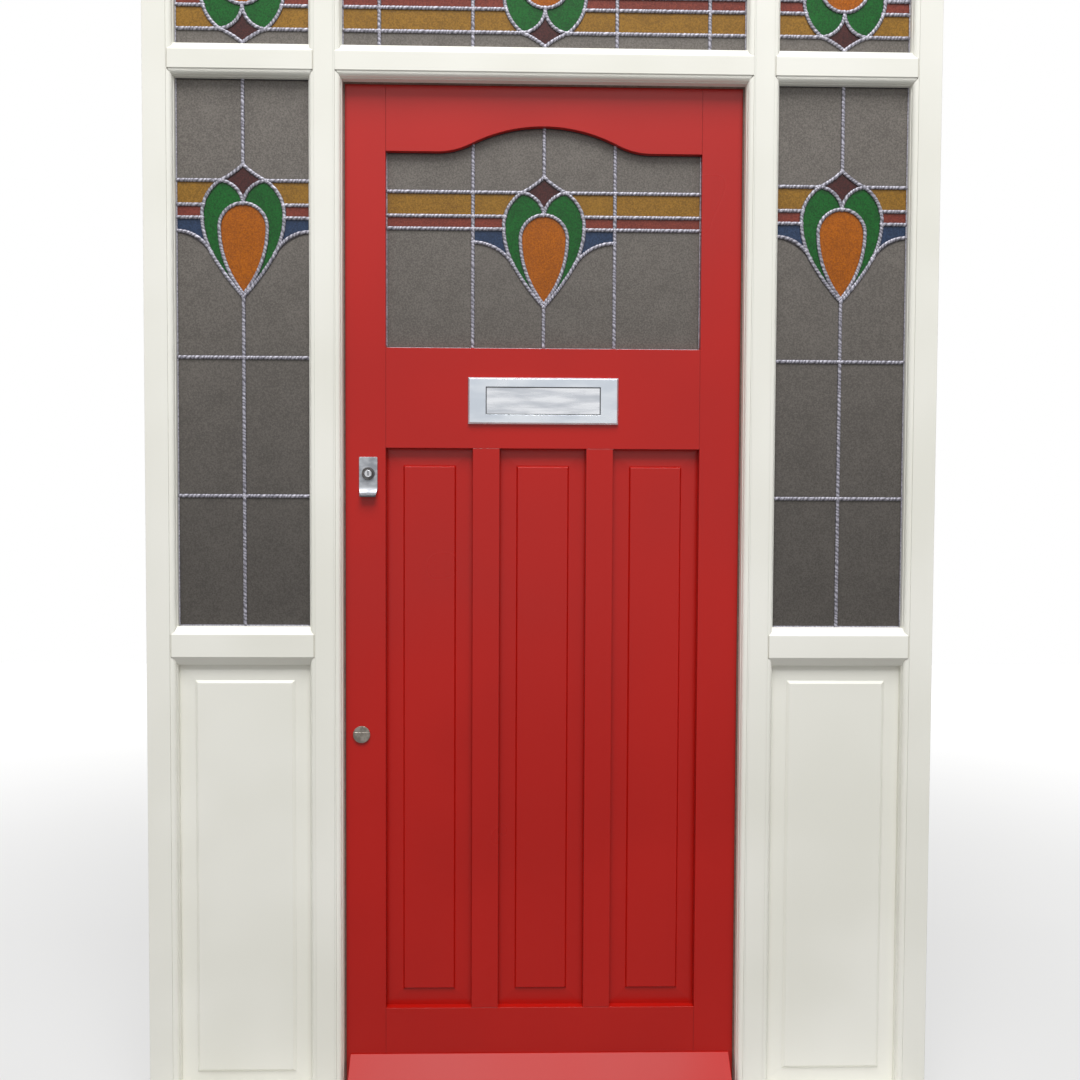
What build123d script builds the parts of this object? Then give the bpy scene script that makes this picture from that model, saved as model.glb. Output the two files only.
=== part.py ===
from build123d import *
import os
from math import atan2, cos, pi, radians, sqrt

os.makedirs("parts", exist_ok=True)

# Panelled front door in its frame, with sidelights and top lights.
# X runs to the right seen from outside, Y goes into the house, Z is up, in mm.
# Y = 0 is the front face of the frame, and Z = 0 the underside of the sill.

# Door leaf
leaf_width = 813.0
leaf_height = 2032.0
leaf_thickness = 44.0
stile_width = 94.0
top_rail_shoulder = 143.0
arch_rise = 51.0
arch_half_span = 212.0
arch_crest_radius = 319.0
door_light_side = 384.0
lock_rail_height = 198.0
bottom_rail_height = 176.0
muntin_width = 53.0
panel_recess = 17.0
panel_raise = 6.0
panel_margin = 32.0
panel_bevel = 5.0
groove_depth = 12.0
tongue_end_gap = 1.0
door_glass_depth = 12.0
weatherboard_bottom = 8.0
weatherboard_height = 75.0
weatherboard_depth = 42.0
weatherboard_front = 36.0
weatherboard_end_gap = 11.0
weatherboard_ledge = 2.0
weatherboard_nose_radius = 6.0

# Frame
frame_depth = 77.0
stop_overlap = 12.0
stop_depth = 29.0
rebate_gap = 3.0
moulding_size = 12.0
moulding_step = 1.5
member_face = 40.0
transom_face = 36.0
jamb_face = 45.0
head_face = 45.0
sidelight_width = 259.5
glass_depth = 22.0
glazing_overlap = 10.0
midrail_top = 953.0
midrail_height = 76.0
sill_bevel_height = 16.0
midrail_top_bevel = 15.0
midrail_bottom_bevel = 17.0
side_bottom_rail_top = 24.0
toplight_height = 340.0

# Sill
sill_height = 45.0
sill_nose = 62.0
sill_fall = 8.0
leaf_floor_gap = 5.0
drip_width = 8.0
drip_depth = 6.0
drip_setback = 10.0

# Side panels
side_panel_thickness = 12.0
side_panel_raise = 6.0
side_panel_margin = 28.0
side_panel_bevel = 9.0

# Glazing
came_width = 6.0
came_thickness = 6.0
border_came = 11.5
quarry_thickness = 3.6
bead_height = 12.0
bead_depth = 14.0
bead_slope = 3.0
bead_lip = 2.0
bead_joint = 0.2
door_tip_drop = 95.0
side_tip_drop = 164.0
top_tip_rise = 6.0
side_bar_heights = (1481.5, 1210.0)
door_vertical_offset = 141.0
top_vertical_offset = 323.0

# Motif of the leaded lights, measured from its tip
amber_start = 31.0
amber_end = 78.0
rose_end = 103.0
top_amber_start = 26.0
top_amber_end = 71.0
top_rose_end = 96.0
motif_length = 256.0
shoulder_half = 44.0
hollow_share = 0.58
leaf_half = 80.0
leaf_widest = 97.0
leaf_turn_half = 57.0
leaf_turn = 180.0
vee_depth = 74.5
vee_bend_across = 16.0
vee_bend_rise = 12.5
tear_radius = 46.7
tear_length = 176.5
wing_start = 129.0
wing_end = 171.0
glass_colours = ("clear", "amber", "rose", "blue", "green", "orange", "plum")

# Weather seal
seal_width = 10.0
seal_reveal = 3.0
running_gap = 0.3

# Hinges
hinge_length = 100.0
hinge_leaf_width = 32.0
hinge_leaf_thickness = 2.4
hinge_knuckle_radius = 5.5
hinge_pin_radius = 3.0
hinge_pin_clearance = 0.05
hinge_knuckles = 3
hinge_heights = (225.0, 1016.0, 1807.0)
hinge_knuckle_clearance = 0.5
knuckle_gap = 0.3
pin_head_radius = 4.5
pin_head_height = 2.0

# Letter plate
plate_width = 298.0
plate_height = 92.0
plate_thickness = 7.0
plate_bevel = 3.0
plate_drop = 5.0
slot_width = 228.0
slot_height = 55.0
flap_thickness = 4.0
flap_setback = 2.0
flap_gap = 0.6
flap_pin_radius = 1.5
flap_pin_clearance = 0.06
flap_pin_length = 5.0
flap_lip = 2.0
rail_slot_gap = 3.0
inner_plate_width = 268.0
inner_plate_height = 85.0
inner_plate_thickness = 2.0

# Nightlatch
latch_height = 1255.5
latch_backset = 60.0
pull_width = 36.0
pull_height = 76.0
pull_thickness = 3.5
pull_lip = 12.0
pull_drop = 5.0
pull_corner_radius = 2.0
pull_grip_height = 17.0
pull_shoulder = 3.0
pull_taper = 2.5
cylinder_radius = 12.5
cylinder_nose = 6.0
nose_ring_outer = 10.8
nose_ring_inner = 9.0
nose_ring_depth = 1.2
plug_radius = 7.0
plug_clearance = 0.05
plug_proud = 0.6
plug_depth = 30.0
keyway_width = 2.2
keyway_height = 9.0
tailbar_width = 6.0
tailbar_thickness = 1.8
stile_bore_radius = 16.0
case_width = 88.0
case_height = 66.0
case_depth = 26.0
case_edge_gap = 2.0
case_wall = 3.0
case_edge_radius = 4.0
tail_hole_radius = 4.0
latch_bolt_height = 20.0
latch_bolt_depth = 12.0
latch_bolt_length = 40.0
latch_bolt_bevel = 10.0
latch_guide_length = 12.0
latch_tail_depth = 4.0
latch_tail_rim = 5.0
latch_throw = 14.0
latch_clearance = 0.3
crank_radius = 16.0
crank_pin_radius = 2.0
crank_arm_radius = 4.0
crank_arm_thickness = 2.5
crank_arm_gap = 1.0
knob_radius = 16.0
knob_height = 12.0
knob_edge_bevel = 2.0
knob_neck_radius = 9.0
knob_neck_height = 8.0
knob_stem_radius = 6.0
knob_offset = 14.0
keep_width = 30.0
keep_setback = 1.5

# Deadlock
deadlock_height = 734.0
deadlock_backset = 46.0
deadlock_case_width = 64.0
deadlock_case_height = 74.0
deadlock_case_thickness = 14.0
deadbolt_rise = 20.0
faceplate_width = 20.0
faceplate_height = 118.0
faceplate_thickness = 2.5
deadbolt_height = 22.0
deadbolt_thickness = 9.0
deadbolt_length = 48.0
deadbolt_throw = 20.0
deadbolt_clearance = 0.3
mortise_clearance = 2.0
rose_radius = 17.0
rose_thickness = 2.0
cover_radius = 16.5
cover_thickness = 2.0
cover_step_rise = 4.5
cover_step_depth = 0.5
cover_pivot_rise = 13.0
cover_pin_radius = 1.6
cover_pin_clearance = 0.06
cover_head_radius = 2.6
cover_head_height = 0.8
keyhole_radius = 4.0
keyhole_length = 11.0

# Fixing holes through the jambs
fixing_radius = 4.0
fixing_depth = 62.0
fixing_heights_left = (300.0, 900.0, 1600.0, 2260.0)
fixing_heights_right = (306.0, 906.0, 1606.0, 2266.0)

# How turned pieces lie: along X, or along Y from their place into the house or to the street
along_x = (0, 90, 0)
along_y = (90, 0, 0)
into_house = (Align.CENTER, Align.CENTER, Align.MAX)
to_street = (Align.CENTER, Align.CENTER, Align.MIN)

# Derived levels and planes
leaf_base = sill_height + leaf_floor_gap
leaf_front = frame_depth - leaf_thickness
leaf_back = frame_depth
leaf_middle = leaf_front + leaf_thickness / 2
leaf_half_width = leaf_width / 2
door_half = leaf_half_width - stop_overlap
rebate_half = leaf_half_width + rebate_gap
glazed_half = door_half + glazing_overlap
member_door_face = door_half + moulding_size
member_side_face = member_door_face + member_face
side_inner = member_side_face + moulding_size
side_outer = side_inner + sidelight_width
side_centre = (side_inner + side_outer) / 2
jamb_face_edge = side_outer + moulding_size
frame_half = jamb_face_edge + jamb_face
stile_inner = leaf_half_width - stile_width
leaf_top = leaf_base + leaf_height
transom_soffit = leaf_top - stop_overlap
transom_rebate = leaf_top + rebate_gap
toplight_bottom = transom_soffit + moulding_size + transom_face + sill_bevel_height
toplight_top = toplight_bottom + toplight_height
frame_top = toplight_top + moulding_size + head_face
midrail_top_z = leaf_base + midrail_top
midrail_bottom_z = midrail_top_z - midrail_height
side_bottom_z = leaf_base + side_bottom_rail_top
shoulder_z = leaf_top - top_rail_shoulder
lock_rail_top_z = shoulder_z - door_light_side
lock_rail_bottom_z = lock_rail_top_z - lock_rail_height
bottom_rail_top_z = leaf_base + bottom_rail_height
crest_z = shoulder_z + arch_rise
quarry_setback = (came_thickness - quarry_thickness) / 2
panel_front = leaf_front + panel_recess
panel_tongue = leaf_thickness - 2 * panel_recess
door_glass_front = leaf_front + door_glass_depth
fixed_glass_front = glass_depth
fixed_glass_back = fixed_glass_front + came_thickness
muntin_pitch = (2 * stile_inner - 2 * muntin_width) / 3 + muntin_width
muntin_centre = muntin_pitch / 2
latch_z = leaf_base + latch_height
latch_x = -leaf_half_width + latch_backset
deadlock_z = leaf_base + deadlock_height
deadlock_x = -leaf_half_width + deadlock_backset
plate_z = (lock_rail_bottom_z + lock_rail_top_z) / 2 - plate_drop
hinge_x = leaf_half_width + rebate_gap / 2
hinge_y = leaf_back + hinge_knuckle_radius


# A facade plane at depth y: local x is X and local y is Z; negative extrusions go into the house.
def facade(y):
    return Plane.XZ.offset(-y)


# Lines of the moulding on an edge: a quarter round between two small steps.
# place(u, v) gives the sketch point u from the opening towards the face and v behind the face.
def moulding(place):
    size = moulding_size
    step = moulding_step
    radius = size - 2 * step
    middle = size - step - radius * cos(radians(45))
    Polyline(place(0, size), place(step, size), place(step, size - step))
    ThreePointArc(place(step, size - step), place(middle, middle), place(size - step, step))
    Polyline(place(size - step, step), place(size, step), place(size, 0))


# Outline of the ogee arch on one side, moved outwards by outset: shoulder, hollow arc and crest arc.
def arch_side(side, outset, end_x):
    reach = (arch_half_span**2 + arch_rise**2) / (2 * arch_rise)
    crest_radius = arch_crest_radius + outset
    joint_x = side * crest_radius * arch_half_span / reach
    joint_z = crest_z - arch_crest_radius + crest_radius * (reach - arch_rise) / reach
    Line((side * end_x, shoulder_z + outset), (side * arch_half_span, shoulder_z + outset))
    TangentArc((side * arch_half_span, shoulder_z + outset), (joint_x, joint_z), tangent=(-side, 0))
    TangentArc((0, crest_z + outset), (joint_x, joint_z), tangent=(side, 0))


# Face of the door light's opening, grown by outset on every side.
def door_light_face(outset):
    half = stile_inner + outset
    base = lock_rail_top_z - outset
    with BuildSketch() as outline:
        with BuildLine():
            Polyline((-half, shoulder_z + outset), (-half, base), (half, base), (half, shoulder_z + outset))
            arch_side(-1, outset, half)
            arch_side(1, outset, half)
        make_face()
    return outline.sketch


# Face of the rectangular light or panel opening, grown by outset on every side.
def rectangle_face(x_low, x_high, z_low, z_high, outset):
    with BuildSketch() as outline:
        with Locations(((x_low + x_high) / 2, (z_low + z_high) / 2)):
            Rectangle(x_high - x_low + 2 * outset, z_high - z_low + 2 * outset)
    return outline.sketch


# SILL
nose_top = sill_height - sill_fall
drip_start = -sill_nose + drip_setback

with BuildPart() as sill:
    with BuildSketch(Plane.YZ.offset(-frame_half)):
        with BuildLine():
            Polyline(
                (-sill_nose, 0),
                (drip_start, 0),
                (drip_start, drip_depth),
                (drip_start + drip_width, drip_depth),
                (drip_start + drip_width, 0),
                (frame_depth, 0),
                (frame_depth, sill_height),
                (stop_depth, sill_height),
                (-sill_nose, nose_top),
                close=True,
            )
        make_face()
    extrude(amount=2 * frame_half)
    nose = sill.edges().filter_by(Axis.X).sort_by(Axis.Y)[0:2].sort_by(Axis.Z)[-1]
    fillet(nose, radius=4)
sill.part.label = "sill"

# HEAD
with BuildPart() as head:
    with BuildSketch(Plane.YZ.offset(-frame_half)):
        with BuildLine():
            moulding(lambda u, v: (v, toplight_top + u))
            Polyline(
                (0, toplight_top + moulding_size),
                (0, frame_top),
                (frame_depth, frame_top),
                (frame_depth, toplight_top + glazing_overlap),
                (glass_depth, toplight_top + glazing_overlap),
                (glass_depth, toplight_top),
                (moulding_size, toplight_top),
            )
        make_face()
    extrude(amount=2 * frame_half)
head.part.label = "head"


# JAMBS AND MULLIONS
# One length of jamb for the side given by sign, scribed to the sill and the head.
def jamb_blank(side):
    with BuildPart() as blank:
        with BuildSketch():
            with BuildLine():
                moulding(lambda u, v: (side * (side_outer + u), v))
                Polyline(
                    (side * jamb_face_edge, 0),
                    (side * frame_half, 0),
                    (side * frame_half, frame_depth),
                    (side * (side_outer + glazing_overlap), frame_depth),
                    (side * (side_outer + glazing_overlap), glass_depth),
                    (side * side_outer, glass_depth),
                    (side * side_outer, moulding_size),
                )
            make_face()
        extrude(amount=toplight_top + moulding_size)
        add(sill.part, mode=Mode.SUBTRACT)
        add(head.part, mode=Mode.SUBTRACT)
    return blank.part


# Face of a rectangle between two x values, in either order, and from y_low to y_high.
def rectangle_between(x_first, x_second, y_low, y_high):
    with BuildSketch() as outline:
        with Locations(((x_first + x_second) / 2, (y_low + y_high) / 2)):
            Rectangle(abs(x_second - x_first), y_high - y_low)
    return outline.sketch


# One mullion: plain on the side of the door, moulded and rebated on the side of its sidelight.
def mullion_blank(side):
    with BuildPart() as blank:
        with BuildSketch():
            with BuildLine():
                Line((side * rebate_half, 0), (side * member_side_face, 0))
                moulding(lambda u, v: (side * (side_inner - u), v))
                Polyline(
                    (side * side_inner, moulding_size),
                    (side * side_inner, glass_depth),
                    (side * (side_inner - glazing_overlap), glass_depth),
                    (side * (side_inner - glazing_overlap), frame_depth),
                    (side * rebate_half, frame_depth),
                    (side * rebate_half, 0),
                )
            make_face()
        extrude(amount=toplight_top + moulding_size)
        add(sill.part, mode=Mode.SUBTRACT)
        add(head.part, mode=Mode.SUBTRACT)
    return blank.part


left_mullion_blank = mullion_blank(-1)
right_mullion_blank = mullion_blank(1)

# The moulded stops are planted on the mullions and form the door rebate with them. Beside the top
# light they are rebated for its glass, and cut back for the beads behind it.
with BuildPart() as door_stops:
    for side in (-1, 1):
        with BuildSketch():
            with BuildLine():
                moulding(lambda u, v: (side * (door_half + u), v))
                Polyline(
                    (side * member_door_face, 0),
                    (side * rebate_half, 0),
                    (side * rebate_half, stop_depth),
                    (side * door_half, stop_depth),
                    (side * door_half, moulding_size),
                )
            make_face()
        extrude(amount=toplight_top + moulding_size)
        with BuildSketch(Plane.XY.offset(toplight_bottom - glazing_overlap)):
            add(rectangle_between(side * door_half, side * glazed_half, glass_depth, fixed_glass_back))
            add(rectangle_between(side * door_half, side * rebate_half, fixed_glass_back, stop_depth))
        extrude(amount=toplight_top - toplight_bottom + 2 * glazing_overlap, mode=Mode.SUBTRACT)
    add(sill.part, mode=Mode.SUBTRACT)
    add(head.part, mode=Mode.SUBTRACT)
door_stops.part.label = "door_stops"

with BuildPart() as left_jamb:
    add(jamb_blank(-1))
    with Locations(*[(-frame_half, fixing_depth, z) for z in fixing_heights_left]):
        Cylinder(fixing_radius, 4 * jamb_face, rotation=along_x, mode=Mode.SUBTRACT)
left_jamb.part.label = "left_jamb"

with BuildPart() as right_jamb:
    add(jamb_blank(1))
    with Locations(*[(frame_half, fixing_depth, z) for z in fixing_heights_right]):
        Cylinder(fixing_radius, 4 * jamb_face, rotation=along_x, mode=Mode.SUBTRACT)
right_jamb.part.label = "right_jamb"

# The left mullion is mortised for the deadbolt and let in for its keep.
with BuildPart() as left_mullion:
    add(left_mullion_blank)
    with Locations((-rebate_half, leaf_middle, deadlock_z + deadbolt_rise)):
        Box(
            2 * (deadbolt_throw + mortise_clearance),
            deadbolt_thickness + 2 * mortise_clearance,
            deadbolt_height + 2 * mortise_clearance,
            mode=Mode.SUBTRACT,
        )
    with Locations((-rebate_half, leaf_middle, deadlock_z)):
        Box(2 * faceplate_thickness, faceplate_width, faceplate_height, mode=Mode.SUBTRACT)
left_mullion.part.label = "left_mullion"

# The right mullion is let in for the frame leaves of the hinges.
hinge_recess = hinge_leaf_thickness - (rebate_gap / 2 - knuckle_gap)
with BuildPart() as right_mullion:
    add(right_mullion_blank)
    with Locations(*[(rebate_half, leaf_back, leaf_base + z) for z in hinge_heights]):
        Box(2 * hinge_recess, 2 * hinge_leaf_width, hinge_length, mode=Mode.SUBTRACT)
right_mullion.part.label = "right_mullion"


# TRANSOMS AND MIDRAILS
# Each rail is cut to length between the rebates of its posts and scribed over their mouldings.
def side_rail_section(side, top, top_bevel, bottom, shaped_bottom):
    start = side_inner - glazing_overlap if side > 0 else -side_outer - glazing_overlap
    with BuildSketch(Plane.YZ.offset(start)) as section:
        with BuildLine():
            Polyline(
                (0, top - top_bevel),
                (moulding_size, top),
                (glass_depth, top),
                (glass_depth, top - glazing_overlap),
                (frame_depth, top - glazing_overlap),
                (frame_depth, bottom + glazing_overlap),
                (glass_depth, bottom + glazing_overlap),
                (glass_depth, bottom),
                (moulding_size, bottom),
            )
            if shaped_bottom:
                moulding(lambda u, v: (v, bottom + u))
                Line((0, bottom + moulding_size), (0, top - top_bevel))
            else:
                Polyline((moulding_size, bottom), (0, bottom + midrail_bottom_bevel), (0, top - top_bevel))
        make_face()
    return section.sketch


side_rail_length = sidelight_width + 2 * glazing_overlap

with BuildPart() as left_transom:
    extrude(side_rail_section(-1, toplight_bottom, sill_bevel_height, transom_soffit, True), side_rail_length)
    add(left_jamb.part, mode=Mode.SUBTRACT)
    add(left_mullion_blank, mode=Mode.SUBTRACT)
left_transom.part.label = "left_transom"

with BuildPart() as right_transom:
    extrude(side_rail_section(1, toplight_bottom, sill_bevel_height, transom_soffit, True), side_rail_length)
    add(right_jamb.part, mode=Mode.SUBTRACT)
    add(right_mullion_blank, mode=Mode.SUBTRACT)
right_transom.part.label = "right_transom"

with BuildPart() as left_midrail:
    midrail_section = side_rail_section(-1, midrail_top_z, midrail_top_bevel, midrail_bottom_z, False)
    extrude(midrail_section, side_rail_length)
    add(left_jamb.part, mode=Mode.SUBTRACT)
    add(left_mullion_blank, mode=Mode.SUBTRACT)
left_midrail.part.label = "left_midrail"

with BuildPart() as right_midrail:
    midrail_section = side_rail_section(1, midrail_top_z, midrail_top_bevel, midrail_bottom_z, False)
    extrude(midrail_section, side_rail_length)
    add(right_jamb.part, mode=Mode.SUBTRACT)
    add(right_mullion_blank, mode=Mode.SUBTRACT)
right_midrail.part.label = "right_midrail"

with BuildPart() as centre_transom:
    with BuildSketch(Plane.YZ.offset(-rebate_half)):
        with BuildLine():
            moulding(lambda u, v: (v, transom_soffit + u))
            Polyline(
                (0, transom_soffit + moulding_size),
                (0, toplight_bottom - sill_bevel_height),
                (moulding_size, toplight_bottom),
                (glass_depth, toplight_bottom),
                (glass_depth, toplight_bottom - glazing_overlap),
                (frame_depth, toplight_bottom - glazing_overlap),
                (frame_depth, transom_rebate),
                (stop_depth, transom_rebate),
                (stop_depth, transom_soffit),
                (moulding_size, transom_soffit),
            )
        make_face()
    extrude(amount=2 * rebate_half)
    add(door_stops.part, mode=Mode.SUBTRACT)
centre_transom.part.label = "centre_transom"

# The low rails under the two side panels stand on the sill.
with BuildPart() as side_bottom_rails:
    for side in (-1, 1):
        start = side_inner - glazing_overlap if side > 0 else -side_outer - glazing_overlap
        with BuildSketch(Plane.YZ.offset(start)):
            with BuildLine():
                Polyline(
                    (0, 0),
                    (0, side_bottom_z - sill_bevel_height),
                    (moulding_size, side_bottom_z),
                    (glass_depth, side_bottom_z),
                    (glass_depth, side_bottom_z - glazing_overlap),
                    (frame_depth, side_bottom_z - glazing_overlap),
                    (frame_depth, 0),
                    close=True,
                )
            make_face()
        extrude(amount=side_rail_length)
    add(sill.part, mode=Mode.SUBTRACT)
    add(left_jamb.part, mode=Mode.SUBTRACT)
    add(right_jamb.part, mode=Mode.SUBTRACT)
    add(left_mullion_blank, mode=Mode.SUBTRACT)
    add(right_mullion_blank, mode=Mode.SUBTRACT)
side_bottom_rails.part.label = "side_bottom_rails"


# SIDE PANELS
# Taper in degrees of a bevel with this run and rise.
def bevel_angle(run, rise):
    return atan2(run, rise) * 180 / pi


def side_panel(side):
    middle_z = (side_bottom_z + midrail_bottom_z) / 2
    tall = midrail_bottom_z - side_bottom_z
    reach = glazing_overlap - tongue_end_gap
    with BuildPart() as panel:
        with BuildSketch(facade(glass_depth)):
            with Locations((side * side_centre, middle_z)):
                Rectangle(sidelight_width + 2 * reach, tall + 2 * reach)
        extrude(amount=-side_panel_thickness)
        with BuildSketch(facade(glass_depth)):
            with Locations((side * side_centre, middle_z)):
                Rectangle(sidelight_width - 2 * side_panel_margin, tall - 2 * side_panel_margin)
        extrude(amount=side_panel_raise, taper=bevel_angle(side_panel_bevel, side_panel_raise))
    return panel.part


with BuildPart() as side_panels:
    add(side_panel(-1))
    add(side_panel(1))
side_panels.part.label = "side_panels"

# LEADED LIGHTS
# Half-width of the green leaf at depth v below the tip: two arcs that meet upright at its widest.
def leaf_edge(v, shoulder):
    across, along = (shoulder_half, shoulder) if v < leaf_widest else (leaf_turn_half, leaf_turn)
    run = leaf_half - across
    radius = (run**2 + (along - leaf_widest) ** 2) / (2 * run)
    return leaf_half - radius + sqrt(radius**2 - (v - leaf_widest) ** 2)


# Centre lines of one motif. at(u, v) places a point u across and v along from the tip, and along is
# the direction from the tip towards the point. The wings start at half_span from the middle.
def motif_curves(at, along, bands, half_span):
    shoulder = bands[0]
    curves = []
    for side in (-1, 1):
        with BuildLine() as outline:
            corner = at(side * shoulder_half, shoulder)
            widest = at(side * leaf_half, leaf_widest)
            ThreePointArc(at(0, 0), at(side * shoulder_half / 2, hollow_share * shoulder), corner)
            TangentArc(widest, corner, tangent=(0, -along))
            lower = TangentArc(widest, at(side * leaf_turn_half, leaf_turn), tangent=(0, along))
            TangentArc(lower @ 1, at(0, motif_length), tangent=lower % 1)
        with BuildLine() as vee:
            ThreePointArc(
                at(side * shoulder_half, shoulder),
                at(side * vee_bend_across, shoulder + vee_bend_rise),
                at(0, vee_depth),
            )
        with BuildLine() as tear:
            cheek = at(side * tear_radius, vee_depth + tear_radius)
            TangentArc(at(0, vee_depth), cheek, tangent=(side, 0))
            TangentArc(cheek, at(0, vee_depth + tear_length), tangent=(0, along))
        with BuildLine() as wing:
            TangentArc(
                at(side * half_span, wing_start),
                at(side * leaf_edge(wing_end, shoulder), wing_end),
                tangent=(-side, 0),
            )
        curves += [outline.line, vee.line, tear.line, wing.line]
    return curves


# A leaded light: where its opening lies, its tip, and the direction in which the motif grows.
def leaded_light(outline, x_middle, half, low, high, tip_z, along, bands, verticals, bars):
    def at(u, v):
        return (x_middle + u, tip_z + along * v)

    span = verticals[0] if verticals else half + glazing_overlap
    curves = motif_curves(at, along, bands, span)
    reach = half + glazing_overlap
    first, last = (high, low) if along < 0 else (low, high)
    lines = [
        ((x_middle, first - along * glazing_overlap), at(0, 0)),
        (at(0, motif_length), (x_middle, last + along * glazing_overlap)),
    ]
    for side in (-1, 1):
        lines.append((at(side * shoulder_half, bands[0]), at(side * reach, bands[0])))
        lines.append((at(side * leaf_edge(bands[1], bands[0]), bands[1]), at(side * reach, bands[1])))
        lines.append((at(side * leaf_edge(bands[2], bands[0]), bands[2]), at(side * reach, bands[2])))
        for offset_x in verticals:
            x = x_middle + side * offset_x
            lines.append(((x, low - glazing_overlap), (x, high + glazing_overlap)))
    for bar in bars:
        lines.append(((x_middle - reach, bar), (x_middle + reach, bar)))
    curves += [Line(*ends) for ends in lines]
    middle = (bands[0] + bands[1]) / 2
    thin = (bands[1] + bands[2]) / 2
    stops = [leaf_half, *verticals, reach]
    outer = [(a + b) / 2 for a, b in zip(stops, stops[1:])]
    seeds = {
        "plum": [at(0, (shoulder_half + bands[0]) / 2)],
        "orange": [at(0, vee_depth + tear_radius)],
        "green": [at(s * (leaf_half + tear_radius) / 2, leaf_widest) for s in (-1, 1)],
        "amber": [at(s * u, middle) for u in outer for s in (-1, 1)],
        "rose": [at(s * u, thin) for u in outer for s in (-1, 1)],
        "blue": [at(s * (leaf_half + came_width), (bands[2] + wing_start) / 2) for s in (-1, 1)],
    }
    return {"outline": outline, "curves": curves, "seeds": seeds}


# Strips along every came of a light, with a border came round its edge.
def came_face(light):
    with BuildSketch() as net:
        add(light["outline"](glazing_overlap))
        add(light["outline"](glazing_overlap - border_came), mode=Mode.SUBTRACT)
        for curve in light["curves"]:
            trace(curve, came_width)
        add(light["outline"](glazing_overlap), mode=Mode.INTERSECT)
    return net.sketch


# The pieces of glass in a light by colour, cut to the cames around them.
def quarry_faces(light):
    with BuildSketch() as panes:
        add(light["outline"](glazing_overlap))
        add(light["cames"], mode=Mode.SUBTRACT)
    sorted_faces = {colour: [] for colour in glass_colours}
    for face in panes.sketch.faces():
        owner = "clear"
        for name, points in light["seeds"].items():
            if any(face.is_inside(Vector(*point, 0)) for point in points):
                owner = name
        sorted_faces[owner].append(face)
    return sorted_faces


def side_light(side):
    low_x, high_x = side_centre - sidelight_width / 2, side_centre + sidelight_width / 2
    x_low, x_high = (low_x, high_x) if side > 0 else (-high_x, -low_x)
    return leaded_light(
        lambda outset: rectangle_face(x_low, x_high, midrail_top_z, transom_soffit, outset),
        side * side_centre, sidelight_width / 2, midrail_top_z, transom_soffit,
        transom_soffit - side_tip_drop, -1, (amber_start, amber_end, rose_end), (),
        [leaf_base + bar for bar in side_bar_heights],
    )


def top_light(x_middle, half, verticals):
    x_low, x_high = x_middle - half, x_middle + half
    return leaded_light(
        lambda outset: rectangle_face(x_low, x_high, toplight_bottom, toplight_top, outset),
        x_middle, half, toplight_bottom, toplight_top,
        toplight_bottom + top_tip_rise, 1, (top_amber_start, top_amber_end, top_rose_end), verticals, (),
    )


door_light = leaded_light(
    door_light_face, 0, stile_inner, lock_rail_top_z, crest_z,
    crest_z - door_tip_drop, -1, (amber_start, amber_end, rose_end), (door_vertical_offset,), (),
)
fixed_lights = [
    side_light(-1),
    side_light(1),
    top_light(-side_centre, sidelight_width / 2, ()),
    top_light(0, door_half, (door_vertical_offset, top_vertical_offset)),
    top_light(side_centre, sidelight_width / 2, ()),
]
for light in [door_light, *fixed_lights]:
    light["cames"] = came_face(light)
    light["quarries"] = quarry_faces(light)


def came_part(lights, front):
    with BuildPart() as cames:
        with BuildSketch(facade(front)):
            for light in lights:
                add(light["cames"])
        extrude(amount=-came_thickness)
    return cames.part


def glass_part(lights, front, colour):
    with BuildPart() as glass:
        with BuildSketch(facade(front + quarry_setback)):
            for light in lights:
                add(light["quarries"][colour])
        extrude(amount=-quarry_thickness)
    return glass.part


with BuildPart() as fixed_light_lead:
    add(came_part(fixed_lights, fixed_glass_front))
fixed_light_lead.part.label = "fixed_light_lead"

with BuildPart() as door_lead:
    add(came_part([door_light], door_glass_front))
door_lead.part.label = "door_lead"

glass_nodes = []
for colour in glass_colours:
    with BuildPart() as fixed_glass:
        add(glass_part(fixed_lights, fixed_glass_front, colour))
    fixed_glass.part.label = "fixed_" + colour + "_glass"
    with BuildPart() as door_glass:
        add(glass_part([door_light], door_glass_front, colour))
    door_glass.part.label = "door_" + colour + "_glass"
    glass_nodes += [fixed_glass, door_glass]

# GLAZING BEADS
# One bead bar along X or along Z. start, end run along the bar; wall is the rebate wall it sits on,
# and inward the direction from that wall to the middle of the light.
def bead_lines(place):
    Polyline(
        place(0, 0),
        place(bead_height, 0),
        place(bead_height, bead_lip),
        place(bead_height - bead_slope, bead_depth),
        place(0, bead_depth),
        close=True,
    )


def level_bead(x_low, x_high, wall, inward, back):
    with BuildPart() as bead:
        with BuildSketch(Plane.YZ.offset(x_low)):
            with BuildLine():
                bead_lines(lambda u, v: (back + v, wall + inward * u))
            make_face()
        extrude(amount=x_high - x_low)
    return bead.part


def upright_bead(z_low, z_high, wall, inward, back):
    with BuildPart() as bead:
        with BuildSketch(Plane.XY.offset(z_low)):
            with BuildLine():
                bead_lines(lambda u, v: (wall + inward * u, back + v))
            make_face()
        extrude(amount=z_high - z_low)
    return bead.part


# Four beads round a rectangular opening.
def bead_frame(x_low, x_high, z_low, z_high, back):
    left, right = x_low - glazing_overlap, x_high + glazing_overlap
    low, high = z_low - glazing_overlap, z_high + glazing_overlap
    inset = bead_height + bead_joint
    with BuildPart() as frame:
        add(level_bead(left, right, low, 1, back))
        add(level_bead(left, right, high, -1, back))
        add(upright_bead(low + inset, high - inset, left, 1, back))
        add(upright_bead(low + inset, high - inset, right, -1, back))
    return frame.part


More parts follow.
